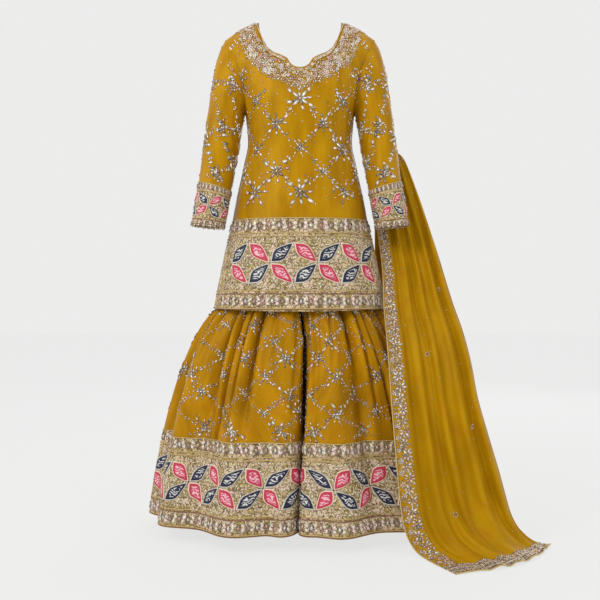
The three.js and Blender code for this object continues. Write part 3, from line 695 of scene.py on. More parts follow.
@lru_cache(maxsize=None)
def silk(name, painted_light_colour, deep):
    """Plain-woven silk with slubs across it, soft waves along its fall in its bumps, and painted
    shade and painted light of soft folds in streaks of its colour.
    """
    shader = Shader(name)
    cloth = shader.node("UVMap")
    waves_and_painted_shade = shader.noise(cloth, 1, (26, 8, 1), 2)
    warm = shader.noise(cloth, 17, detail=2)
    slub = shader.noise(cloth, 1, (70, 1500, 1), 2)
    thread = shader.noise(cloth, 1, (1800, 1400, 1), 0)
    # Painted shade and painted light: the colour runs between the silk in shade and the silk in
    # light in soft streaks down its fall, in place of the shade of folds. The same streaks also set
    # the roughness and the bumps.
    colour = shader.mix(waves_and_painted_shade.above(0.5, 0.3), deep, painted_light_colour)
    colour = shader.mix(warm.above(0.62, 0.1) * 0.25, colour, "#B0640C")
    colour = shader.mix(slub.above(0.62, 0.12) * 0.3, colour, deep)
    height = waves_and_painted_shade * 9 + slub * 0.6 + thread * 0.5
    return shader.set(
        Base_Color=colour, Roughness=waves_and_painted_shade * 0.16 + 0.34,
        Normal=shader.bump(height, 0.4, 0.0004), Specular_IOR_Level=0.25,
        Specular_Tint="#FFD873")


@lru_cache(maxsize=None)
def border_ground():
    """Dense embroidery of curling beige and olive threads."""
    shader = Shader("border_ground")
    cloth = shader.node("UVMap")
    swirl = shader.noise(cloth, 60, detail=1, output=1)
    bend = shader.node("VectorMath", {"operation": "SCALE"}, {0: swirl, "Scale": 0.02})
    place = shader.node("VectorMath", {"operation": "ADD"}, {0: cloth, 1: bend})
    edge = shader.node("TexVoronoi", {"feature": "DISTANCE_TO_EDGE"}, {
        "Vector": place, "Scale": 75.0})
    cell = shader.node("TexVoronoi", None, {"Vector": place, "Scale": 75.0}, 1)
    pick = shader.node("SeparateColor", None, {0: cell})
    threads = shader.noise(place, 1, (700, 250, 1), 1)
    colour = shader.mix(pick.above(0.45, 0.1), "#CFB88A", "#AC9552")
    colour = shader.mix(pick.above(0.75, 0.05), colour, "#DDC3A6")
    colour = shader.mix(threads.above(0.6, 0.1) * 0.4, colour, "#8C7040")
    colour = shader.mix(1 - edge.above(0.07, 0.05), colour, "#6E5530")
    height = edge.above(0.12, 0.12) + threads * 0.3
    return shader.set(Base_Color=colour, Roughness=0.55, Specular_IOR_Level=0.4,
                      Normal=shader.bump(height, 0.8, 0.0012))


@lru_cache(maxsize=None)
def cotton():
    """Plain matt cotton of the parts that the tunic hides."""
    shader = Shader("plain_cotton")
    cloth = shader.node("UVMap")
    weave = shader.noise(cloth, 1, (1100, 1100, 1), 1)
    colour = shader.mix(weave.above(0.5, 0.2), "#8F6810", "#A87C1C")
    return shader.set(Base_Color=colour, Roughness=0.8, Normal=shader.bump(weave, 0.5, 0.0004),
                      Sheen_Weight=0.15)


def suit_silk(part):
    """The silk of one garment in the colours of the panel: its colour in painted light and its
    colour in painted shade.
    """
    colours = bpy.context.scene.suit_colours
    # The second colour is the silk in painted shade, and also the colour of its slubs.
    painted_light_colour, deep = (tuple(getattr(colours, name)) for name in (part, f"{part}_shade"))
    return silk(f"{part}_silk", painted_light_colour, deep)


# Small sewn pieces

STONE_SIDES = {"leaf": 6, "disc": 8, "stitch": 4, "bead": 5}


def stone_shape(kind):
    """A faceted bead, or a stone with a flat under side."""
    shape = bmesh.new()
    bmesh.ops.create_uvsphere(shape, u_segments=STONE_SIDES[kind], v_segments=2, radius=0.5)
    if kind != "bead":
        lowest = min(shape.verts, key=lambda vert: vert.co.z)
        bmesh.ops.dissolve_verts(shape, verts=[lowest])
    return shape


def ring_shape():
    """A round ring, four-sided in section."""
    shape = bmesh.new()
    made = bmesh.ops.create_circle(shape, segments=4, radius=0.14)
    bmesh.ops.rotate(shape, verts=made["verts"], matrix=Matrix.Rotation(math.pi / 2, 3, "X"))
    bmesh.ops.translate(shape, verts=made["verts"], vec=(0.38, 0, 0))
    bmesh.ops.spin(shape, geom=shape.verts[:] + shape.edges[:], axis=(0, 0, 1), steps=8,
                   angle=2 * math.pi, use_merge=True)
    bmesh.ops.remove_doubles(shape, verts=shape.verts, dist=1e-4)
    bmesh.ops.recalc_face_normals(shape, faces=shape.faces)
    return shape


@lru_cache(maxsize=None)
def sewn_shape(kind):
    """Corners and triangles of one small piece, a unit long along X, with its top at +Z."""
    shape = ring_shape() if kind == "ring" else stone_shape(kind)
    bmesh.ops.triangulate(shape, faces=shape.faces)
    shape.verts.index_update()
    corners = np.array([vert.co for vert in shape.verts])
    faces = np.array([[vert.index for vert in face.verts] for face in shape.faces])
    shape.free()
    return corners, faces


class Beadwork:
    """Small pieces on one cloth, gathered as rows of numbers and made into one mesh."""

    LOOK = {"leaf": 0, "disc": 0, "bead": 1, "ring": 1, "stitch": 2}

    def __init__(self, cloth, seed):
        self.cloth, self.draw, self.items = cloth, random.Random(seed), {}

    def add(self, kind, place, turn, size, colours):
        """Size is length, width and height in millimetres. One of several colours is drawn."""
        colour = colours if isinstance(colours, str) else self.draw.choice(colours)
        tint = np.array(paint(TINTS[colour])[:3]) * self.draw.uniform(0.82, 1.12)
        tilt = [self.draw.gauss(0, 0.13) for _ in range(2)]
        row = (*place, turn, *(s * MM for s in size), *np.minimum(tint, 1), *tilt)
        self.items.setdefault(kind, []).append(row)

    def bead(self, place, size, colours):
        self.add("bead", place, 0, (size, size, size), colours)

    def turned(self, place, turn, forward, sideways=0.0):
        """A place moved along and across a direction, in millimetres."""
        c, s = math.cos(turn), math.sin(turn)
        return (place[0] + (c * forward - s * sideways) * MM,
                place[1] + (s * forward + c * sideways) * MM)

    def make(self, name):
        corners, faces, tints, looks, count = [], [], [], [], 0
        for kind, rows in self.items.items():
            place, turn, size, tint, tilt = np.split(np.array(rows), (2, 3, 6, 9), axis=1)
            base, triangles = sewn_shape(kind)
            point, across, down, normal = self.cloth.spots(self.cloth.find(place))
            ahead = np.cos(turn) * across + np.sin(turn) * down
            normal = unit(normal + tilt[:, :1] * across + tilt[:, 1:] * down)
            aside = unit(np.cross(normal, ahead))
            ahead = np.cross(aside, normal)
            frame_of = np.stack([ahead, aside, normal], axis=1) * size[..., None]
            lifted = point + normal * (0.25 * size[:, 2:] + 0.0002)
            placed = lifted[:, None] + np.einsum("kc,ncx->nkx", base, frame_of)
            corners.append(placed.reshape(-1, 3))
            index = np.arange(len(rows))[:, None, None] * len(base) + triangles + count
            faces.append(index.reshape(-1, 3))
            tints.append(np.repeat(tint, len(base), axis=0))
            looks.append(np.full(len(rows) * len(triangles), self.LOOK[kind]))
            count += len(rows) * len(base)
        mesh = bpy.data.meshes.new(name)
        corners, faces = np.concatenate(corners), np.concatenate(faces)
        mesh.vertices.add(len(corners))
        mesh.vertices.foreach_set("co", corners.ravel())
        mesh.loops.add(faces.size)
        mesh.loops.foreach_set("vertex_index", faces.ravel())
        mesh.polygons.add(len(faces))
        mesh.polygons.foreach_set("loop_start", np.arange(len(faces)) * 3)
        mesh.polygons.foreach_set("material_index", np.concatenate(looks))
        mesh.update(calc_edges=True)
        colours = mesh.color_attributes.new("tint", "FLOAT_COLOR", "POINT")
        tints = np.concatenate(tints)
        colours.data.foreach_set("color", np.column_stack([tints, np.ones(len(tints))]).ravel())
        finished(name, mesh, [tinted(*look) for look in BEAD_LOOKS])


TINTS = {
    "silver": "#D8D8D2", "white": "#F4EFE6", "blush": "#E9C9BA", "grey": "#77736B",
    "gold": "#CDA24A", "brown": "#6F4420", "rose": "#C8806E", "cream": "#E4D5B0",
    "beige": "#CDB384", "olive": "#8C7038", "red": "#C22B38", "navy": "#1B2444",
    "straw": "#D8BE80", "rosy": "#CFA890",
}
SPARKLE = (
    "silver", "white", "blush", "silver", "grey", "gold", "blush", "rose", "white", "straw", "olive",
)
HEART = ("grey", "olive", "silver", "brown", "white")
MOSAIC = ("cream", "straw", "beige", "cream", "rosy", "blush", "straw", "olive", "cream", "beige")


BEAD_LOOKS = (
    ("foil_sequin", 0.55, 0.32, 0.0), ("glass_bead", 0.15, 0.22, 0.4),
    ("zari_thread", 0.25, 0.45, 0.0),
)


@lru_cache(maxsize=None)
def tinted(name, metallic, roughness, coat):
    """Foil, glass or thread in the tint of each small piece."""
    shader = Shader(name)
    tint = shader.node("Attribute", {"attribute_name": "tint"})
    place = shader.node("TexCoord", output=3)
    speck = shader.noise(place, 260, detail=1)
    colour = shader.mix(speck.above(0.42, 0.2) * 0.35, tint, (0.92, 0.9, 0.86, 1))
    return shader.set(Base_Color=colour, Metallic=metallic, Coat_Weight=coat,
                      Roughness=speck * 0.2 + (roughness - 0.1),
                      Normal=shader.bump(speck, 0.15, 0.0004))


def star(work, place, size, turn):
    """A spiky flower: eight rays of two leaf sequins round a dark heart with a pale sequin."""
    shake = work.draw.uniform
    for k in range(8):
        way = turn + k * math.pi / 4 + shake(-0.18, 0.18)
        reach = size * shake(0.84, 1.06) * (1 if k % 2 else 0.76)
        inner = work.turned(place, way, reach * 0.17)
        work.add("leaf", inner, way, (reach * 0.26, reach * 0.1, 1.9), HEART)
        outer = work.turned(place, way, reach * 0.39, shake(-1.5, 1.5))
        work.add("leaf", outer, way + shake(-0.3, 0.3), (reach * 0.21, reach * 0.115, 2.1), SPARKLE)
        if k % 2:
            work.bead(work.turned(place, way, reach * 0.54, shake(-2, 2)), 3, SPARKLE)
    for k in range(5):
        near = work.turned(place, turn + k * 1.257, size * 0.075)
        work.bead(near, 3.2, ("brown", "grey", "olive"))
    work.add("disc", place, 0, (6, 6, 3.2), "white")


def sprig_line(work, start, end, leaf, spare):
    """Pairs of leaf sequins on a thread stem, from one place to another."""
    shake, gap = work.draw.uniform, 4 + leaf * 0.85
    away = (np.array(end) - start) / MM
    length = float(np.hypot(*away))
    turn = math.atan2(away[1], away[0])
    count = max(int((length - 2 * spare) / gap), 0)
    bow = shake(-5, 5)
    for k in range(count + 1):
        run = length / 2 + (k - count / 2) * gap
        aside = bow * math.sin(math.pi * run / max(length, 1))
        spot = work.turned(start, turn, run + shake(-2, 2), aside)
        for side in (-1, 1):
            if shake(0, 1) < 0.16:
                continue
            way = turn + side * shake(0.3, 1.1)
            middle = work.turned(spot, way, leaf * 0.5, side * 0.8)
            long = leaf * shake(0.7, 1.15)
            work.add("leaf", middle, way, (long, long * 0.54, 1.9), SPARKLE)
        work.add("stitch", spot, turn, (gap, 1.6, 1), ("brown", "gold", "olive"))
        work.bead(spot, 2.4, ("brown", "rose", "gold"))


def lattice(work, node, rows, columns, keep, star_size, spare, leaf=10):
    """Stars at every other crossing of a grid and sprigs on the diagonals between them."""
    for j in rows:
        for i in columns:
            if (i + j) % 2:
                continue
            place = node(i, j)
            if keep(place):
                size = star_size * work.draw.choice((0.8, 1.0, 1.15, 1.3))
                star(work, place, size, work.draw.gauss(0, 0.2))
            for step in (-1, 1):
                end = node(i + step, j + 1)
                if abs(end[0] - place[0]) > 0.12:
                    continue
                middle = (np.array(place) + end) / 2
                if keep(place) and keep(end):
                    sprig_line(work, place, end, leaf, spare)
                elif keep(middle):
                    sprig_line(work, middle, end if keep(end) else place, leaf, 2)


# Neck

def neck_line(face):
    """Upper edge of the front or back between the neck points, on the flat cloth."""
    cloth = tunic_panel(face, "silk")
    across = fine_across(PANEL_COLUMNS)
    inside = np.abs(across) <= NECK_SHARE + 1e-6
    return cloth.flat[0, inside], cloth.points[0, inside], cloth.normals[0, inside]


def distance_to(line, places):
    """Distance of places from a line of points."""
    start, span = line[:-1], np.diff(line, axis=0)
    away = places[:, None] - start
    share = np.sum(away * span, axis=-1) / np.maximum(np.sum(span**2, axis=-1), 1e-12)
    nearest = start + span * np.clip(share, 0, 1)[..., None]
    return np.linalg.norm(places[:, None] - nearest, axis=-1).min(axis=1)


def honeycomb(low, high, gap, draw, shake=0.2):
    """Places of a slightly shaken honeycomb between two corners."""
    places, row, v = [], 0, low[1]
    while v < high[1]:
        u = low[0] + (gap / 2 if row % 2 else 0)
        while u < high[0]:
            places.append((u + draw.uniform(-shake, shake) * gap,
                           v + draw.uniform(-shake, shake) * gap))
            u += gap
        v += gap * 0.87
        row += 1
    return np.array(places)


def on_front(cloth, x, z):
    """Places on the flat front at distances from its middle and heights, in metres."""
    place = np.stack([x, down_front(z)], axis=-1)
    for _ in range(4):
        place[:, 0] += x - cloth.spots(cloth.find(place))[0][:, 0]
    return place


def neck_beads(work, face, reach):
    """Rings, sequins and beads that crowd round the neck and end in a fringe of leaves."""
    pick, shake = work.draw.choice, work.draw.uniform
    places = honeycomb((-0.22, -0.01), (0.22, 0.27), 7.8 * MM, work.draw)
    places = places[work.cloth.covers(places, 0.0005)]
    away = distance_to(neck_line(face)[0], places) / MM
    point = work.cloth.spots(work.cloth.find(places))[0] / MM
    room = point[:, 2] - np.interp(np.abs(point[:, 0]), BEADED_NECK["x"], BEADED_NECK["z"])
    room = room * 0.8 if face < 0 else reach - away
    for place, gap, spare in zip(places, away, room):
        if gap < 7 or spare < -2:
            continue
        colour = pick(("blush", "white", "rosy", "straw", "gold", "gold", "beige", "rose", "silver"))
        turn, chance = shake(0, math.pi), work.draw.random()
        if chance > 0.93:
            continue
        if spare < 7:
            out = math.atan2(place[1] - 0.07, place[0])
            work.add("leaf", place, out + shake(-0.3, 0.3), (10.5, 4.4, 1.9), colour)
        elif chance < 0.36:
            work.add("ring", place, turn, (9, 9, 5.4), colour)
            work.bead(place, 3.2, SPARKLE)
        elif chance < 0.74:
            work.add("leaf", place, turn, (10.5, 5, 2.4), colour)
        else:
            work.add("disc", place, turn, (6.4, 6.4, 2.6), colour)
        work.bead(work.turned(place, turn + 1, 4.8), 2.9, ("brown", "gold", "brown", "olive"))


def neck_outline():
    """A gold cord in small scallops inside the fringe of the beaded front."""
    cloth = tunic_panel(-1, "silk")
    side = np.linspace(-157, 157, 240)
    rise = np.interp(np.abs(side), BEADED_NECK["x"], BEADED_NECK["z"])
    rise = rise + 10 + 3 * np.abs(np.sin(side / 9))
    point, _, _, normal = cloth.spots(cloth.find(on_front(cloth, side * MM, rise * MM)))
    cord_on([point], [normal], 0.0012, "neck_outline", "gold")


# Borders

class BorderPlan:
    """Heights of the strips of a border in millimetres from its top, and its leaves."""

    def __init__(self, top, panel, bottom, height, period, swing, leaf, shift=0):
        self.top, self.panel, self.bottom, self.height = top, panel, bottom, height
        self.period, self.swing, self.leaf, self.shift = period, swing, leaf, shift

    @property
    def middle(self):
        return (self.panel[0] + self.panel[1]) / 2

    def leaves(self, low, high):
        """Centre, turn and colour of each leaf of the chain."""
        rise = math.atan2(self.swing, self.period / 2)
        quarter, half = self.period / 4, self.swing / 2
        first, last = math.floor(low / self.period) - 1, math.ceil(high / self.period)
        for k in range(first, last + 1):
            crossing = k * self.period + self.shift
            for way, colour in ((1, "navy"), (-1, "pink")):
                for end in (-1, 1):
                    centre = (crossing + end * quarter, self.middle - way * end * half)
                    yield centre, -way * rise, colour


HEM_PLAN = BorderPlan((3, 36), (50, 184), (199, 229), 237, 119, 53, (81, 35), 44)
LEG_PLAN = BorderPlan((3, 33), (45, 174), (187, 216), 226, 112, 50, (76, 34))
CUFF_PLAN = BorderPlan((2, 16), (22, 88), (96, 114), 124, 66, 30, (44, 20))


def mosaic(work, plan, low, high):
    """Raised stitches: curls between the leaves of the panel, plain rows over and under it."""
    draw, top = work.draw, low[1]
    middles = honeycomb(low, high, 30 * MM, draw, 0.3)
    turns = np.array([draw.choice((-1, 1)) for _ in middles])
    panel = (low[0], top + plan.top[1] * MM), (high[0], top + plan.bottom[0] * MM)
    places = honeycomb(*panel, 9.6 * MM, draw, 0.24)
    leaves = list(plan.leaves(low[0] / MM, high[0] / MM))
    centres = np.array([leaf[0] for leaf in leaves]) * MM + (0, top)
    ways = np.array([leaf[1] for leaf in leaves])
    for place in places:
        down = (place[1] - top) / MM
        away = place - centres
        ahead = away[:, 0] * np.cos(ways) + away[:, 1] * np.sin(ways)
        aside = -away[:, 0] * np.sin(ways) + away[:, 1] * np.cos(ways)
        room = leaf_half_width(ahead / MM / plan.leaf[0] * 2) * plan.leaf[1] * MM
        if np.any(np.abs(aside) < room * 1.04):
            continue
        gap = place - middles
        near = np.hypot(*gap.T).argmin()
        turn = math.atan2(gap[near][1], gap[near][0]) + turns[near] * 1.2
        long = draw.uniform(12, 17)
        if plan.panel[0] <= down <= plan.panel[1]:
            work.add("stitch", place, turn, (long, 4.9, 2.2), MOSAIC)
            if draw.random() < 0.12:
                work.bead(work.turned(place, turn, 5), 2.8, ("white", "silver", "blush"))
        else:
            work.add("stitch", place, draw.uniform(-0.1, 0.1), (long, 3.6, 1.3),
                     ("straw", "beige", "rosy", "blush"))


def leaf_half_width(along):
    """Half the width of a leaf, as a share of its full width, from -1 to 1 along it."""
    along = np.clip(along, -1, 1)
    return 0.5 * np.clip(1 - along**2, 0, 1) ** 1.15 * (1 - 0.2 * np.sin(3.1 * along))


def diamonds(work, strip, top, low, high, gap):
    """Diamonds with a pale heart and long stitches for edges, and loose stitches between."""
    pick, shake = work.draw.choice, work.draw.uniform
    middle = top + (strip[0] + strip[1]) / 2 * MM
    tall = (strip[1] - strip[0]) * 0.4
    for k in range(int((high - low) / (gap * MM)) + 1):
        place = (low + k * gap * MM, middle)
        edge = ("brown", "rose", "brown", "olive", "brown")[k % 5]
        for side in (-0.45, 0.45):
            between = (place[0] + gap * shake(0.4, 0.6) * MM, middle + tall * side * MM)
            work.add("stitch", between, shake(0.3, 2.8), (gap * 0.8, tall, 2),
                     ("cream", "blush")[k % 2])
        for n in range(8):
            spot = (place[0] + gap * shake(0.3, 0.7) * MM, middle + tall * (n - 5) * 0.24 * MM)
            work.add("stitch", spot, pick((0.5, 2.6, 1.1, 2)), (tall * shake(0.7, 1), 4.6, 2.4),
                     ("cream", "blush", "white", "straw", "blush", "cream"))
        work.add("disc", place, 0, (gap * 0.4, tall * 1.3, 2.6), ("blush", "white", "rosy")[k % 3])
        for sx in (-1, 1):
            for sy in (-1, 1):
                way = math.atan2(-sx * sy * tall, gap * 0.3)
                spot = (place[0] + sx * gap * 0.15 * MM, place[1] + sy * tall * 0.5 * MM)
                work.add("stitch", spot, way, (tall * 1.2, 2.7, 5), edge)
        for n in range(4 * (k % 3 != 1)):
            way = n * math.pi / 2
            work.add("leaf", work.turned(place, way, tall * 0.2), way,
                     (tall * 0.34, tall * 0.2, 4.4), ("rose", "gold")[k % 2])
        work.add("bead", place, 0, (3.2, 3.2, 6), ("brown", "gold", "red"))


LEAF_SIDES = 18


def leaf_mesh(cloth, places, name, colour):
    """Domed leaves that follow the cloth: place, turn, length and width in millimetres."""
    shape = bmesh.new()
    layer = shape.loops.layers.uv.new("UVMap")
    for number, (place, turn, length, width) in enumerate(places):
        start = len(shape.verts)
        made = bmesh.ops.create_uvsphere(shape, u_segments=LEAF_SIDES, v_segments=8, radius=1)
        verts = made["verts"]
        bmesh.ops.rotate(shape, verts=verts, matrix=Matrix.Rotation(math.pi / LEAF_SIDES, 3, "Z"))
        local = np.array([vert.co for vert in verts])
        reach = np.hypot(local[:, 0], local[:, 1])
        angle = np.arctan2(local[:, 1], local[:, 0])
        along = np.cos(angle)
        aside = leaf_half_width(along) * 2 * np.sign(np.sin(angle))
        s, t = along * reach, aside * reach
        c, d = math.cos(turn), math.sin(turn)
        forward, sideways = s * length / 2 * MM, t * width / 2 * MM
        flat = np.stack([place[0] + c * forward - d * sideways,
                         place[1] + d * forward + c * sideways], axis=-1)
        point, _, _, normal = cloth.spots(cloth.find(flat))
        height = np.where(local[:, 2] > 0, 2.4, 0.5) * local[:, 2] * MM
        moved = point + normal * (height + 0.0006)[:, None]
        own = {}
        for vert, co, a, b, r in zip(verts, moved, s, t, reach):
            vert.co = co
            own[vert] = (a + 4 * number, r)
        for face in {face for vert in verts for face in vert.link_faces}:
            face.smooth = True
            for loop in face.loops:
                loop[layer].uv = own[loop.vert]
    bmesh.ops.recalc_face_normals(shape, faces=shape.faces)
    finished(name, mesh_from(shape, name), leaf_look(colour))


LEAF_COLOURS = {
    "pink": ("#E8D8BE", "#B92C48", "#C94A68", "#EFBFC4"),
    "navy": ("#DCD6C8", "#101633", "#161E40", "#DAD8D0"),
}


@lru_cache(maxsize=None)
def leaf_look(colour):
    """Satin stitch of a leaf: pale outline, dark edge and light curls inside."""
    shader = Shader(f"{colour}_satin")
    outline, edge, inner, light = LEAF_COLOURS[colour]
    uv = shader.node("SeparateXYZ", None, {0: shader.node("UVMap")})
    rim = Value(shader, uv.socket.node.outputs[1])
    place = shader.node("TexCoord", output=3)
    curl = shader.node("TexWave", {"wave_type": "RINGS"}, {
        "Vector": place, "Scale": 38.0, "Distortion": 10.0, "Detail": 1.0, "Detail Scale": 2.0}, 1)
    thread = shader.noise(place, 1400, detail=1)
    inside = shader.mix(curl.above(0.6, 0.12), inner, light)
    colour = shader.mix(rim.above(0.56, 0.1), inside, edge)
    colour = shader.mix(rim.above(0.86, 0.04), colour, outline)
    colour = shader.mix(thread.above(0.55, 0.2) * 0.25, colour, edge)
    return shader.set(Base_Color=colour, Roughness=0.5, Specular_IOR_Level=0.35,
                      Normal=shader.bump(thread + curl, 0.5, 0.0006))


def inner_ends(cloth):
    """The ends of a border on its flat cloth, where they lie nearest to each other."""
    return float(cloth.flat[:, 0, 0].max()), float(cloth.flat[:, -1, 0].min())


def dress_border(cloth, plan, name, seed, low, high):
    """All that is sewn on one border: leaves, curls, diamonds, small sequins and cords."""
    work = Beadwork(cloth, seed)
    top = float(cloth.flat[0, cloth.flat.shape[1] // 2, 1])
    low_corner, high_corner = (low, top + 1.5 * MM), (high, top + (plan.height - 9) * MM)
    mosaic(work, plan, low_corner, high_corner)
    for strip in (plan.top, plan.bottom):
        wide = (strip[1] - strip[0]) * 0.8
        diamonds(work, strip, top, low + 12 * MM, high - 8 * MM, wide)
    leaves = {"pink": [], "navy": []}
    for (u, v), turn, colour in plan.leaves(low / MM, high / MM):
        place = (u * MM, v * MM + top)
        margin = plan.leaf[0] * 0.32 * MM
        if not low + margin < place[0] < high - margin:
            continue
        leaves[colour].append((place, turn, *plan.leaf))
        dots = ("white", "silver") if colour == "navy" else ("white", "blush")
        for k in (-1, 0, 1):
            spot = work.turned(place, turn, k * plan.leaf[0] * 0.17, (k % 2) * 2 - 1)
            work.add("stitch", spot, turn + 0.9 * (k + 0.5), (7, 2.8, 6.6), dots[k % 2])
        for end in (-1, 1):
            tip = work.turned(place, turn, end * plan.leaf[0] * 0.53)
            work.add("leaf", tip, turn, (7, 3.2, 2), "red" if colour == "pink" else "navy")
    work.make(f"{name}_stitches")
    for colour, places in leaves.items():
        leaf_mesh(cloth, places, f"{name}_{colour}_leaves", colour)
    border_cords(cloth, plan, name)


# Cords and bindings

CORD_SIDES = 6
CORD_COLOURS = {"gold": ("#9C7630", "#E8D296"), "brown": ("#6B4424", "#A97B58")}


def cord_on(path, normals, radius, name, kind):
    """Round cords with closed ends that lie on the cloth, each along a line of points."""
    joined = bmesh.new()
    joined.loops.layers.uv.new("UVMap")
    for line, up in zip(path, normals):
        ahead = unit(np.gradient(line, axis=0))
        aside = unit(np.cross(ahead, up))
        up = np.cross(aside, ahead)
        angle = np.linspace(0, 2 * math.pi, CORD_SIDES + 1)[None, :, None]
        size = np.full((len(line), 1, 1), radius)
        size[0] = size[-1] = radius * 0.2
        tube = line[:, None] + size * (np.cos(angle) * aside[:, None] + np.sin(angle) * up[:, None])
        flat = np.broadcast_arrays(arc_along(line, 0)[:, None], np.arange(CORD_SIDES + 1) * radius)
        shape = grid_shape(tube + up[:, None] * radius * 0.6, np.stack(flat, axis=-1))
        bmesh.ops.remove_doubles(shape, verts=shape.verts, dist=1e-7)
        open_edges = [edge for edge in shape.edges if len(edge.link_faces) == 1]
        bmesh.ops.holes_fill(shape, edges=open_edges)
        bmesh.ops.recalc_face_normals(shape, faces=shape.faces)
        part = mesh_from(shape, "cord")
        joined.from_mesh(part)
        bpy.data.meshes.remove(part)
    finished(name, mesh_from(joined, name), cord_look(kind))


@lru_cache(maxsize=None)
def cord_look(kind):
    """Twisted metallic thread."""
    shader = Shader(f"{kind}_cord")
    dark, pale = CORD_COLOURS[kind]
    at = shader.node("Mapping", None, {"Vector": shader.node("UVMap"), "Rotation": (0, 0, 0.7)})
    twist = shader.node("TexWave", None, {"Vector": at, "Scale": 180.0, "Distortion": 0.5}, 1)
    return shader.set(Base_Color=shader.mix(twist, dark, pale), Metallic=0.3, Roughness=0.42,
                      Normal=shader.bump(twist, 0.6, 0.0006))


def border_cords(cloth, plan, name):
    """Cords along a border: gold at its edges and over the panel, brown under the panel."""
    columns = cloth.points.shape[1]
    top, bottom = (float(cloth.flat[row, columns // 2, 1]) for row in (0, -1))
    gold = [plan.top[0] - 2, plan.top[1] + 3, plan.panel[0] - 2, plan.panel[1] + 3,
            plan.bottom[1] + 3]
    brown = [plan.bottom[0] - 4, plan.height - 3]
    for heights, kind in ((gold, "gold"), (brown, "brown")):
        lines, ups = [], []
        for height in heights:
            down = min(top + height * MM, bottom - 2 * MM)
            found = np.array([(cloth.row_at(down, c / (columns - 1)), c) for c in range(columns)])
            point, _, _, normal = cloth.spots(found)
            lines.append(point)
            ups.append(normal)
        cord_on(lines, ups, 0.0014, f"{name}_{kind}_cords", kind)


def neck_binding(face, name):
    """The strip that binds the neck edge, rounded over it, with a cord on each side."""
    _, edge, normals = neck_line(face)
    ahead = unit(np.gradient(edge, axis=0))
    outward = unit(np.cross(ahead, normals))
    inside = np.array((0, 0, 0.02)) - edge.mean(axis=0)
    outward *= np.sign(np.sum(outward * inside, axis=1).mean())
    outward[0], outward[-1] = unit(np.array([(1, 0, 0.3), (-1, 0, 0.3)]))
    across = np.linspace(-1.5, 8.6, 9)[:, None, None] * MM
    bulge = (1.3 * np.sin(np.linspace(0.25, math.pi, 9)) + 0.2)[:, None, None] * MM
    points = edge + outward * across + normals * bulge
    runs = arc_along(edge, 0)
    flat = np.stack(np.broadcast_arrays(runs[None], across[..., 0]), axis=-1)
    cloth = Cloth(points, flat, TUNIC_HEART)
    sew(f"neck_binding_{name}", cloth, suit_silk("tunic"),
        [f"kameez_neck_band_{name}"], thickness=1.3)
    lines = [edge - outward * 4.6 * MM + normals * 0.6 * MM, points[-2]]
    cord_on(lines, [normals] * 2, 0.0013, f"neck_cord_{name}", "gold")
    work = Beadwork(cloth, SEEDS["neck"] + face)
    for k in range(int(runs[-1] / (6 * MM))):
        work.bead(((k + 0.5) * 6 * MM, 3.4 * MM), 2.3, ("blush", "rose", "brown"))
    work.make(f"neck_binding_beads_{name}")


def inner_ring(heights, inset):
    """Closed rings inside the tunic, at heights and distances in from it in millimetres."""
    across = fine_across(WAIST_COLUMNS)
    rings = []
    for z, gap in zip(heights, inset):
        row = np.full(WAIST_COLUMNS, z)
        front, back = skirt(across, row, -1), skirt(across, row, 1)
        ring = np.concatenate([front, back[::-1][1:]])
        centre = ring.mean(axis=0)
        away = ring - centre
        away[:, 2] = 0
        ring[:, :2] -= (unit(away) * gap)[:, :2]
        ring[:, 2] = z
        rings.append(ring)
    return np.array(rings) * MM


def waist_cloth(top, bottom, insets, gathers):
    """A ring of plain cloth under the tunic, with small gathers of a drawstring."""
    heights = np.linspace(top, bottom, WAIST_ROWS)
    inset = np.interp(np.linspace(0, 1, WAIST_ROWS), np.linspace(0, 1, len(insets)), insets)
    points = inner_ring(heights, inset)
    ripple = np.sin(np.arange(points.shape[1]) * 2 * math.pi * 20 / (points.shape[1] - 1))
    flat_out = unit(points * (1, 1, 0))
    points = points - flat_out * (gathers * MM * (1 + ripple))[None, :, None] / 2
    around = arc_along(points, 1)
    down = np.broadcast_to((top - heights)[:, None] * MM, around.shape)
    return Cloth(points, np.stack([around, down], axis=-1), TUNIC_HEART, closed=True)


# Trousers and scarf

def strew(work, places, keep):
    """Single sequins, leaves and beads, lying any way, between the stars."""
    pick, shake = work.draw.choice, work.draw.uniform
    for place in places:
        if keep(place):
            shape, size = pick((("disc", (3.8, 3.8, 1.8)), ("leaf", (6.5, 3, 2)),
                                ("bead", (2.8, 2.8, 2.6)), ("disc", (4.6, 4.6, 2))))
            work.add(shape, place, shake(0, math.pi), size, SPARKLE)


def leg_lattice(work, star_size):
    """The lattice of a leg, which opens with the flare, and loose spangles in its diamonds."""
    cloth, count = work.cloth, 22
    length = float(cloth.flat[-1, 0, 1])

    def node(i, j):
        sway = 0.24 * math.sin(1.7 * j + 0.9 * i)
        return tuple(cloth.flat_at((i + sway) / count, 0.062 + j * 0.046))

    def keep(place):
        return 0.056 < place[1] < length - 0.014

    lattice(work, node, range(-1, 9), range(count), keep, star_size, 23, 6.8)
    strew(work, [node(i + 0.5 + work.draw.gauss(0, 0.2), j + work.draw.uniform(0, 1))
                 for j in range(8) for i in range(count) for _ in range(3)], keep)


def cluster(work, place, turn, size):
    """A spray of leaf sequins and beads round a larger bead."""
    for k in range(7):
        way = turn + k * 0.8976 + work.draw.uniform(-0.15, 0.15)
        long = size * work.draw.uniform(0.36, 0.5)
        middle = work.turned(place, way, size * 0.3)
        work.add("leaf", middle, way, (long, long * 0.44, 2), SPARKLE)
        between = work.turned(place, way + 0.45, size * 0.2)
        work.bead(between, 2.2, ("brown", "rose", "gold"))
    work.add("disc", place, 0, (4.6, 4.6, 3.4), ("white", "blush", "gold"))


def floret(work, place):
    """A ring of small beads round a leaf, on the plain silk of the scarf."""
    for k in range(9):
        work.bead(work.turned(place, k * 0.698, 5.6), 3, ("gold", "blush", "silver"))
    work.add("leaf", place, 0.6, (7, 3.6, 2), "brown")


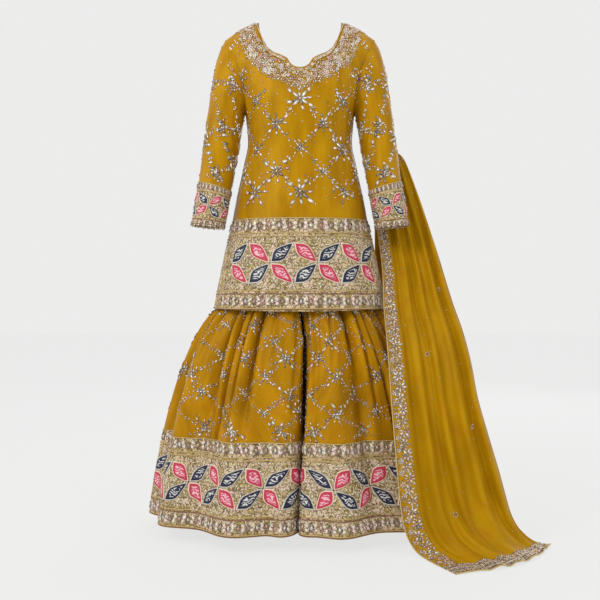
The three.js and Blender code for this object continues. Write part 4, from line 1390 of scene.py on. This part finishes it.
def scarf_edge(work):
    """Large sprays of leaves and beads all along the side border of the scarf."""
    shake, gap = work.draw.uniform, 0.0135
    for k in range(int(float(work.cloth.flat[-1, 0, 1]) / gap)):
        down = (k + 0.5) * gap
        wide = float(work.cloth.flat[int(work.cloth.row_at(down)), -1, 0])
        if k % 2:
            share = 0.56 + 0.12 * (k % 4 == 1)
            cluster(work, (wide * share, down), shake(0, 1), min(29, wide * 950))
        else:
            cluster(work, (wide * 0.26, down), shake(0, 1), min(17, wide * 600))
            for share in (0.62, 0.88):
                place = (wide * share, down + shake(-2, 2) * MM)
                work.add("disc", place, 0, (5, 5, 2.2), SPARKLE)
        for n in range(14):
            place = (wide * (0.06 + 0.068 * n), down + shake(-6, 6) * MM)
            work.add("bead", place, 0, (3.6, 3.6, 2), ("gold", "olive", "brown", "brown"))


def scarf_end(work):
    """Rows of small sprays with sequins between them on the end border of the scarf."""
    wide, tall = float(work.cloth.flat[:, -1, 0].min()), float(work.cloth.flat[-1, 0, 1])
    across, down = 0.011, 0.0125
    for k in range(int(wide / across)):
        for row in range(int(tall / down)):
            place = ((k + 0.5 + 0.5 * (row % 2)) * across, (row + 0.6) * down)
            cluster(work, place, k + row, 14)
            for n in range(4):
                spot = work.turned(place, n * 1.57 + row, 6)
                work.add("disc", spot, 0, (5, 5, 3.4), ("brown", "gold", "brown", "olive"))


def scarf_spangles(work):
    """Loose sequins down the silk of the scarf, and a floret now and then."""
    cloth, gap = work.cloth, 0.038
    for k in range(int(float(cloth.flat[-1, 0, 1]) / gap)):
        for share in (0.06, 0.3, 0.6):
            down = (k + work.draw.random()) * gap
            place = cloth.flat_at(share + work.draw.uniform(-0.06, 0.1), down)
            work.add("disc", place, 0, (3, 3, 1.6), SPARKLE)
        if k % 5 == 2:
            floret(work, cloth.flat_at(0.28 + 0.3 * (k % 10 == 2), (k + 0.5) * gap))


# Settings that the buttons use

def length(name, description, default):
    return bpy.props.FloatProperty(name=name, description=description, default=default, min=0,
                                   unit="LENGTH")


def colour(name, description, value):
    return bpy.props.FloatVectorProperty(name=name, description=description, min=0, max=1,
                                         default=paint(value), size=4, subtype="COLOR")


class SUIT_PG_sizes(bpy.types.PropertyGroup):
    """Sizes of the embroidery"""

    star: length("Star", "Width of a star on the tunic and the sleeves", 0.071)
    leg_star: length("Leg star", "Width of a star on the legs", 0.054)
    across: length("Lattice across", "Distance between crossings across the tunic", 0.06)
    down: length("Lattice down", "Distance between crossings down the tunic", 0.0615)
    back_reach: length("Back neck", "Depth of the beads round the neck at the back", 0.034)


class SUIT_PG_colours(bpy.types.PropertyGroup):
    """Colours of the silks, in painted light and painted shade"""

    # Each first colour is the silk in painted light, and each shade colour is the silk in painted
    # shade. The darker waves are painted shade of soft folds, in streaks down the fall.
    tunic: colour("Tunic", "Silk of the tunic in light", "#BE8C08")
    tunic_shade: colour("Tunic shade", "Silk of the tunic in its darker waves", "#9A6C04")
    sharara: colour("Legs", "Silk of the legs in light", "#BC8608")
    sharara_shade: colour("Leg shade", "Silk of the legs in its darker waves", "#936606")
    scarf: colour("Scarf", "Silk of the scarf in light", "#B88A06")
    scarf_shade: colour("Scarf shade", "Silk of the scarf in its darker waves", "#A07404")


# The tunic, the trousers and the scarf

class SUIT_OT_tunic(bpy.types.Operator):
    """Front and back of the tunic with the borders at their hem"""

    bl_idname = "suit.tunic"
    bl_label = "Tunic"

    def execute(self, context):
        for face, name in FACES:
            cloth = tunic_panel(face, "silk")
            sew(f"tunic_{name}", cloth, suit_silk("tunic"), [f"kameez_{name}"])
            sew(f"tunic_hem_{name}", tunic_panel(face, "border"), border_ground(),
                [f"kameez_hem_border_{name}"])
            neck_binding(face, name)
        seams = [cloth.points[2:-1, end] for end in (0, -1)]
        out = [unit(seam * (1, 0, 0)) for seam in seams]
        cord_on(seams, out, 0.0012, "side_seams", "brown")
        return {"FINISHED"}


class SUIT_OT_sleeves(bpy.types.Operator):
    """Both sleeves with their cuffs"""

    bl_idname = "suit.sleeves"
    bl_label = "Sleeves"

    def execute(self, context):
        for side, name in SIDES:
            sew(f"sleeve_{name}", sleeve_cloth(side, "silk"), suit_silk("tunic"),
                [f"kameez_sleeve_{name}"])
            sew(f"cuff_{name}", sleeve_cloth(side, "border"), border_ground(),
                [f"kameez_cuff_{name}"])
        return {"FINISHED"}


class SUIT_OT_sharara(bpy.types.Operator):
    """Gathered legs with their borders, hip yoke and waistband"""

    bl_idname = "suit.sharara"
    bl_label = "Sharara"

    def execute(self, context):
        for side, name in SIDES:
            sew(f"leg_{name}", leg_cloth(side, "silk"), suit_silk("sharara"),
                [f"sharara_leg_{name}_front", f"sharara_leg_{name}_back"])
            sew(f"leg_border_{name}", leg_cloth(side, "border"), border_ground(),
                [f"sharara_border_{name}_front", f"sharara_border_{name}_back"])
        sew("waistband", waist_cloth(-375, -425, (2.6, 2.6), 1.2), cotton(),
            ["sharara_waistband"], thickness=1.4)
        sew("hip_yoke", waist_cloth(-425.5, -708, (2.8, 8, 13, 15, 16, 16, 15, 14), 2.0), cotton(),
            ["sharara_yoke_front", "sharara_yoke_back"])
        return {"FINISHED"}


class SUIT_OT_scarf(bpy.types.Operator):
    """The scarf, from its fold at the elbow down to the floor"""

    bl_idname = "suit.scarf"
    bl_label = "Scarf"

    def execute(self, context):
        sew("scarf", scarf_cloth("silk"), suit_silk("scarf"),
            ["dupatta_front_fall", "dupatta_back_fall"], 0.8)
        sew("scarf_side_border", scarf_cloth("side"), suit_silk("scarf"),
            ["dupatta_back_border", "dupatta_side_border"], 0.9)
        sew("scarf_end_border", scarf_cloth("end"), border_ground(),
            ["dupatta_end_border"], 0.9)
        side, end = scarf_cloth("side"), scarf_cloth("end")
        cord_on([side.points[:, 0], end.points[-1]], [side.normals[:, 0], end.normals[-1]],
                0.0016, "scarf_piping", "gold")
        return {"FINISHED"}


class SUIT_OT_tunic_beads(bpy.types.Operator):
    """Beads round the neck and the lattice of stars on the tunic and its sleeves"""

    bl_idname = "suit.tunic_beads"
    bl_label = "Tunic beads"

    def execute(self, context):
        sizes = context.scene.suit_sizes
        for face, name in FACES:
            cloth = tunic_panel(face, "silk")
            work = Beadwork(cloth, SEEDS["tunic"] + face)
            neck_beads(work, face, sizes.back_reach / MM)
            line, start = neck_line(face)[0], float(down_front(-225 * MM))
            bottom = float(cloth.flat[-1, PANEL_COLUMNS // 2, 1])

            def node(i, j):
                return i * sizes.across, start + min(j, 3.86) * sizes.down

            def keep(place):
                spot = np.array([place])
                point = cloth.spots(cloth.find(spot))[0][0] / MM
                low = np.interp(abs(point[0]), BEADED_NECK["x"], BEADED_NECK["z"]) - 9
                above = distance_to(line, spot)[0] < sizes.back_reach + 7 * MM
                clear = point[2] < low if face < 0 else not above
                return clear and place[1] < bottom - 9 * MM and cloth.covers(spot, 0.0)[0]

            lattice(work, node, range(-4, 5), range(-4, 5), keep, sizes.star / MM, 31)
            shake = work.draw.uniform
            for low, high, count in ((-0.2, 0.04, 220), (0.04, 0.26, 90)):
                strew(work, [(shake(-0.2, 0.2), start + shake(low, high)) for _ in range(count)],
                      keep)
            work.make(f"tunic_beads_{name}")
        neck_outline()
        for side, name in SIDES:
            cloth = sleeve_cloth(side, "silk")
            work = Beadwork(cloth, SEEDS["sleeve"] + side)
            end = float(cloth.flat[-1, 0, 1])

            def arm_node(i, j):
                return tuple(cloth.flat_at(0.75 + i / 6, 0.035 + j * 0.06))

            def on_arm(place):
                return 0.012 < place[1] < end - 0.012

            lattice(work, arm_node, range(-1, 6), range(-3, 3), on_arm, sizes.star / MM * 0.95, 30)
            strew(work, [arm_node(work.draw.uniform(-1, 6), work.draw.uniform(-3, 3))
                         for _ in range(110)], on_arm)
            work.make(f"sleeve_beads_{name}")
        return {"FINISHED"}


class SUIT_OT_borders(bpy.types.Operator):
    """Leaves, curls, diamonds and cords of the hems and cuffs"""

    bl_idname = "suit.borders"
    bl_label = "Borders"

    def execute(self, context):
        for face, name in FACES:
            hem = tunic_panel(face, "border")
            dress_border(hem, HEM_PLAN, f"tunic_hem_{name}", SEEDS["hem"] + face, *inner_ends(hem))
        for side, name in SIDES:
            leg, seed = leg_cloth(side, "border"), SEEDS["leg_border"] + side
            dress_border(leg, LEG_PLAN, f"leg_border_{name}", seed, *inner_ends(leg))
            cuff, seed = sleeve_cloth(side, "border"), SEEDS["cuff"] + side
            ends = sorted(float(cuff.flat[:, end, 0].mean()) for end in (0, -1))
            dress_border(cuff, CUFF_PLAN, f"cuff_{name}", seed, *ends)
        return {"FINISHED"}


class SUIT_OT_sharara_beads(bpy.types.Operator):
    """Lattice and loose spangles on the legs"""

    bl_idname = "suit.sharara_beads"
    bl_label = "Sharara beads"

    def execute(self, context):
        for side, name in SIDES:
            work = Beadwork(leg_cloth(side, "silk"), SEEDS["leg"] + side)
            leg_lattice(work, context.scene.suit_sizes.leg_star / MM)
            work.make(f"leg_beads_{name}")
        return {"FINISHED"}


class SUIT_OT_scarf_beads(bpy.types.Operator):
    """Sprays along the scarf's borders and small florets on its silk"""

    bl_idname = "suit.scarf_beads"
    bl_label = "Scarf beads"

    def execute(self, context):
        work = Beadwork(scarf_cloth("side"), SEEDS["scarf_side"])
        scarf_edge(work)
        work.make("scarf_side_beads")
        work = Beadwork(scarf_cloth("end"), SEEDS["scarf_end"])
        scarf_end(work)
        work.make("scarf_end_beads")
        work = Beadwork(scarf_cloth("silk"), SEEDS["scarf"])
        scarf_spangles(work)
        work.make("scarf_florets")
        return {"FINISHED"}


class SUIT_OT_stage(bpy.types.Operator):
    """Pale floor, soft room light, lamps and the camera"""

    bl_idname = "suit.stage"
    bl_label = "Stage"

    def execute(self, context):
        scene = context.scene
        scene.view_settings.view_transform = "Standard"
        shape = bmesh.new()
        bmesh.ops.create_circle(shape, cap_ends=True, segments=96, radius=14)
        bmesh.ops.translate(shape, vec=(0, 0, FLOOR_Z * MM), verts=shape.verts)
        floor = bpy.data.objects.new("floor", mesh_from(shape, "floor"))
        scene.collection.objects.link(floor)
        shader = Shader("pale_floor")
        grain = shader.noise(shader.node("TexCoord", output=3), 6, detail=2)
        base = shader.mix(grain, (0.12, 0.12, 0.12, 1), (0.125, 0.125, 0.124, 1))
        floor.data.materials.append(shader.set(
            Base_Color=base, Roughness=1.0, Specular_IOR_Level=0.0, Emission_Strength=1.0,
            Emission_Color=(0.72, 0.723, 0.717, 1)))
        world = bpy.data.worlds.new("soft_room")
        world.use_nodes = True
        world.node_tree.nodes["Background"].inputs[0].default_value = (0.84, 0.843, 0.835, 1)
        scene.world = world
        for name, place, size, power in (
            ("key", (-2.2, -2.6, 1.4), 1.2, 52), ("fill", (2.6, -2.8, 0.2), 2.4, 8),
            ("back", (1.4, 3.0, 1.0), 2.4, 30),
        ):
            light = bpy.data.lights.new(name, "AREA")
            light.shape, light.size, light.energy = "SQUARE", size, power
            lamp = bpy.data.objects.new(name, light)
            lamp.location = place
            aim = Vector((0, 0, -0.75)) - Vector(place)
            lamp.rotation_euler = aim.to_track_quat("-Z", "Y").to_euler()
            scene.collection.objects.link(lamp)
        lens = bpy.data.cameras.new("camera")
        lens.lens, lens.sensor_width = 54, 36
        camera = bpy.data.objects.new("camera", lens)
        camera.location = (0, -2.4, -0.736)
        camera.rotation_euler = (math.pi / 2, 0, 0)
        scene.collection.objects.link(camera)
        scene.camera = camera
        return {"FINISHED"}


OPERATORS = (
    SUIT_OT_tunic, SUIT_OT_sleeves, SUIT_OT_sharara, SUIT_OT_scarf, SUIT_OT_tunic_beads,
    SUIT_OT_borders, SUIT_OT_sharara_beads, SUIT_OT_scarf_beads, SUIT_OT_stage,
)


class SUIT_PT_panel(bpy.types.Panel):
    """Buttons for the pieces of the suit"""

    bl_idname = "SUIT_PT_panel"
    bl_label = "Sharara suit"
    bl_space_type = "VIEW_3D"
    bl_region_type = "UI"
    bl_category = "Suit"

    def draw(self, context):
        for group in (context.scene.suit_sizes, context.scene.suit_colours):
            for name in group.__annotations__:
                self.layout.prop(group, name)
        for operator in OPERATORS:
            self.layout.operator(operator.bl_idname)


def register():
    for one in (SUIT_PG_sizes, SUIT_PG_colours, *OPERATORS, SUIT_PT_panel):
        bpy.utils.register_class(one)
    bpy.types.Scene.suit_sizes = bpy.props.PointerProperty(type=SUIT_PG_sizes)
    bpy.types.Scene.suit_colours = bpy.props.PointerProperty(type=SUIT_PG_colours)


def unregister():
    del bpy.types.Scene.suit_sizes, bpy.types.Scene.suit_colours
    for one in (SUIT_PT_panel, *reversed(OPERATORS), SUIT_PG_colours, SUIT_PG_sizes):
        bpy.utils.unregister_class(one)


def main():
    register()
    for operator in OPERATORS:
        group, name = operator.bl_idname.split(".")
        getattr(getattr(bpy.ops, group), name)()


if __name__ == "__main__":
    main()
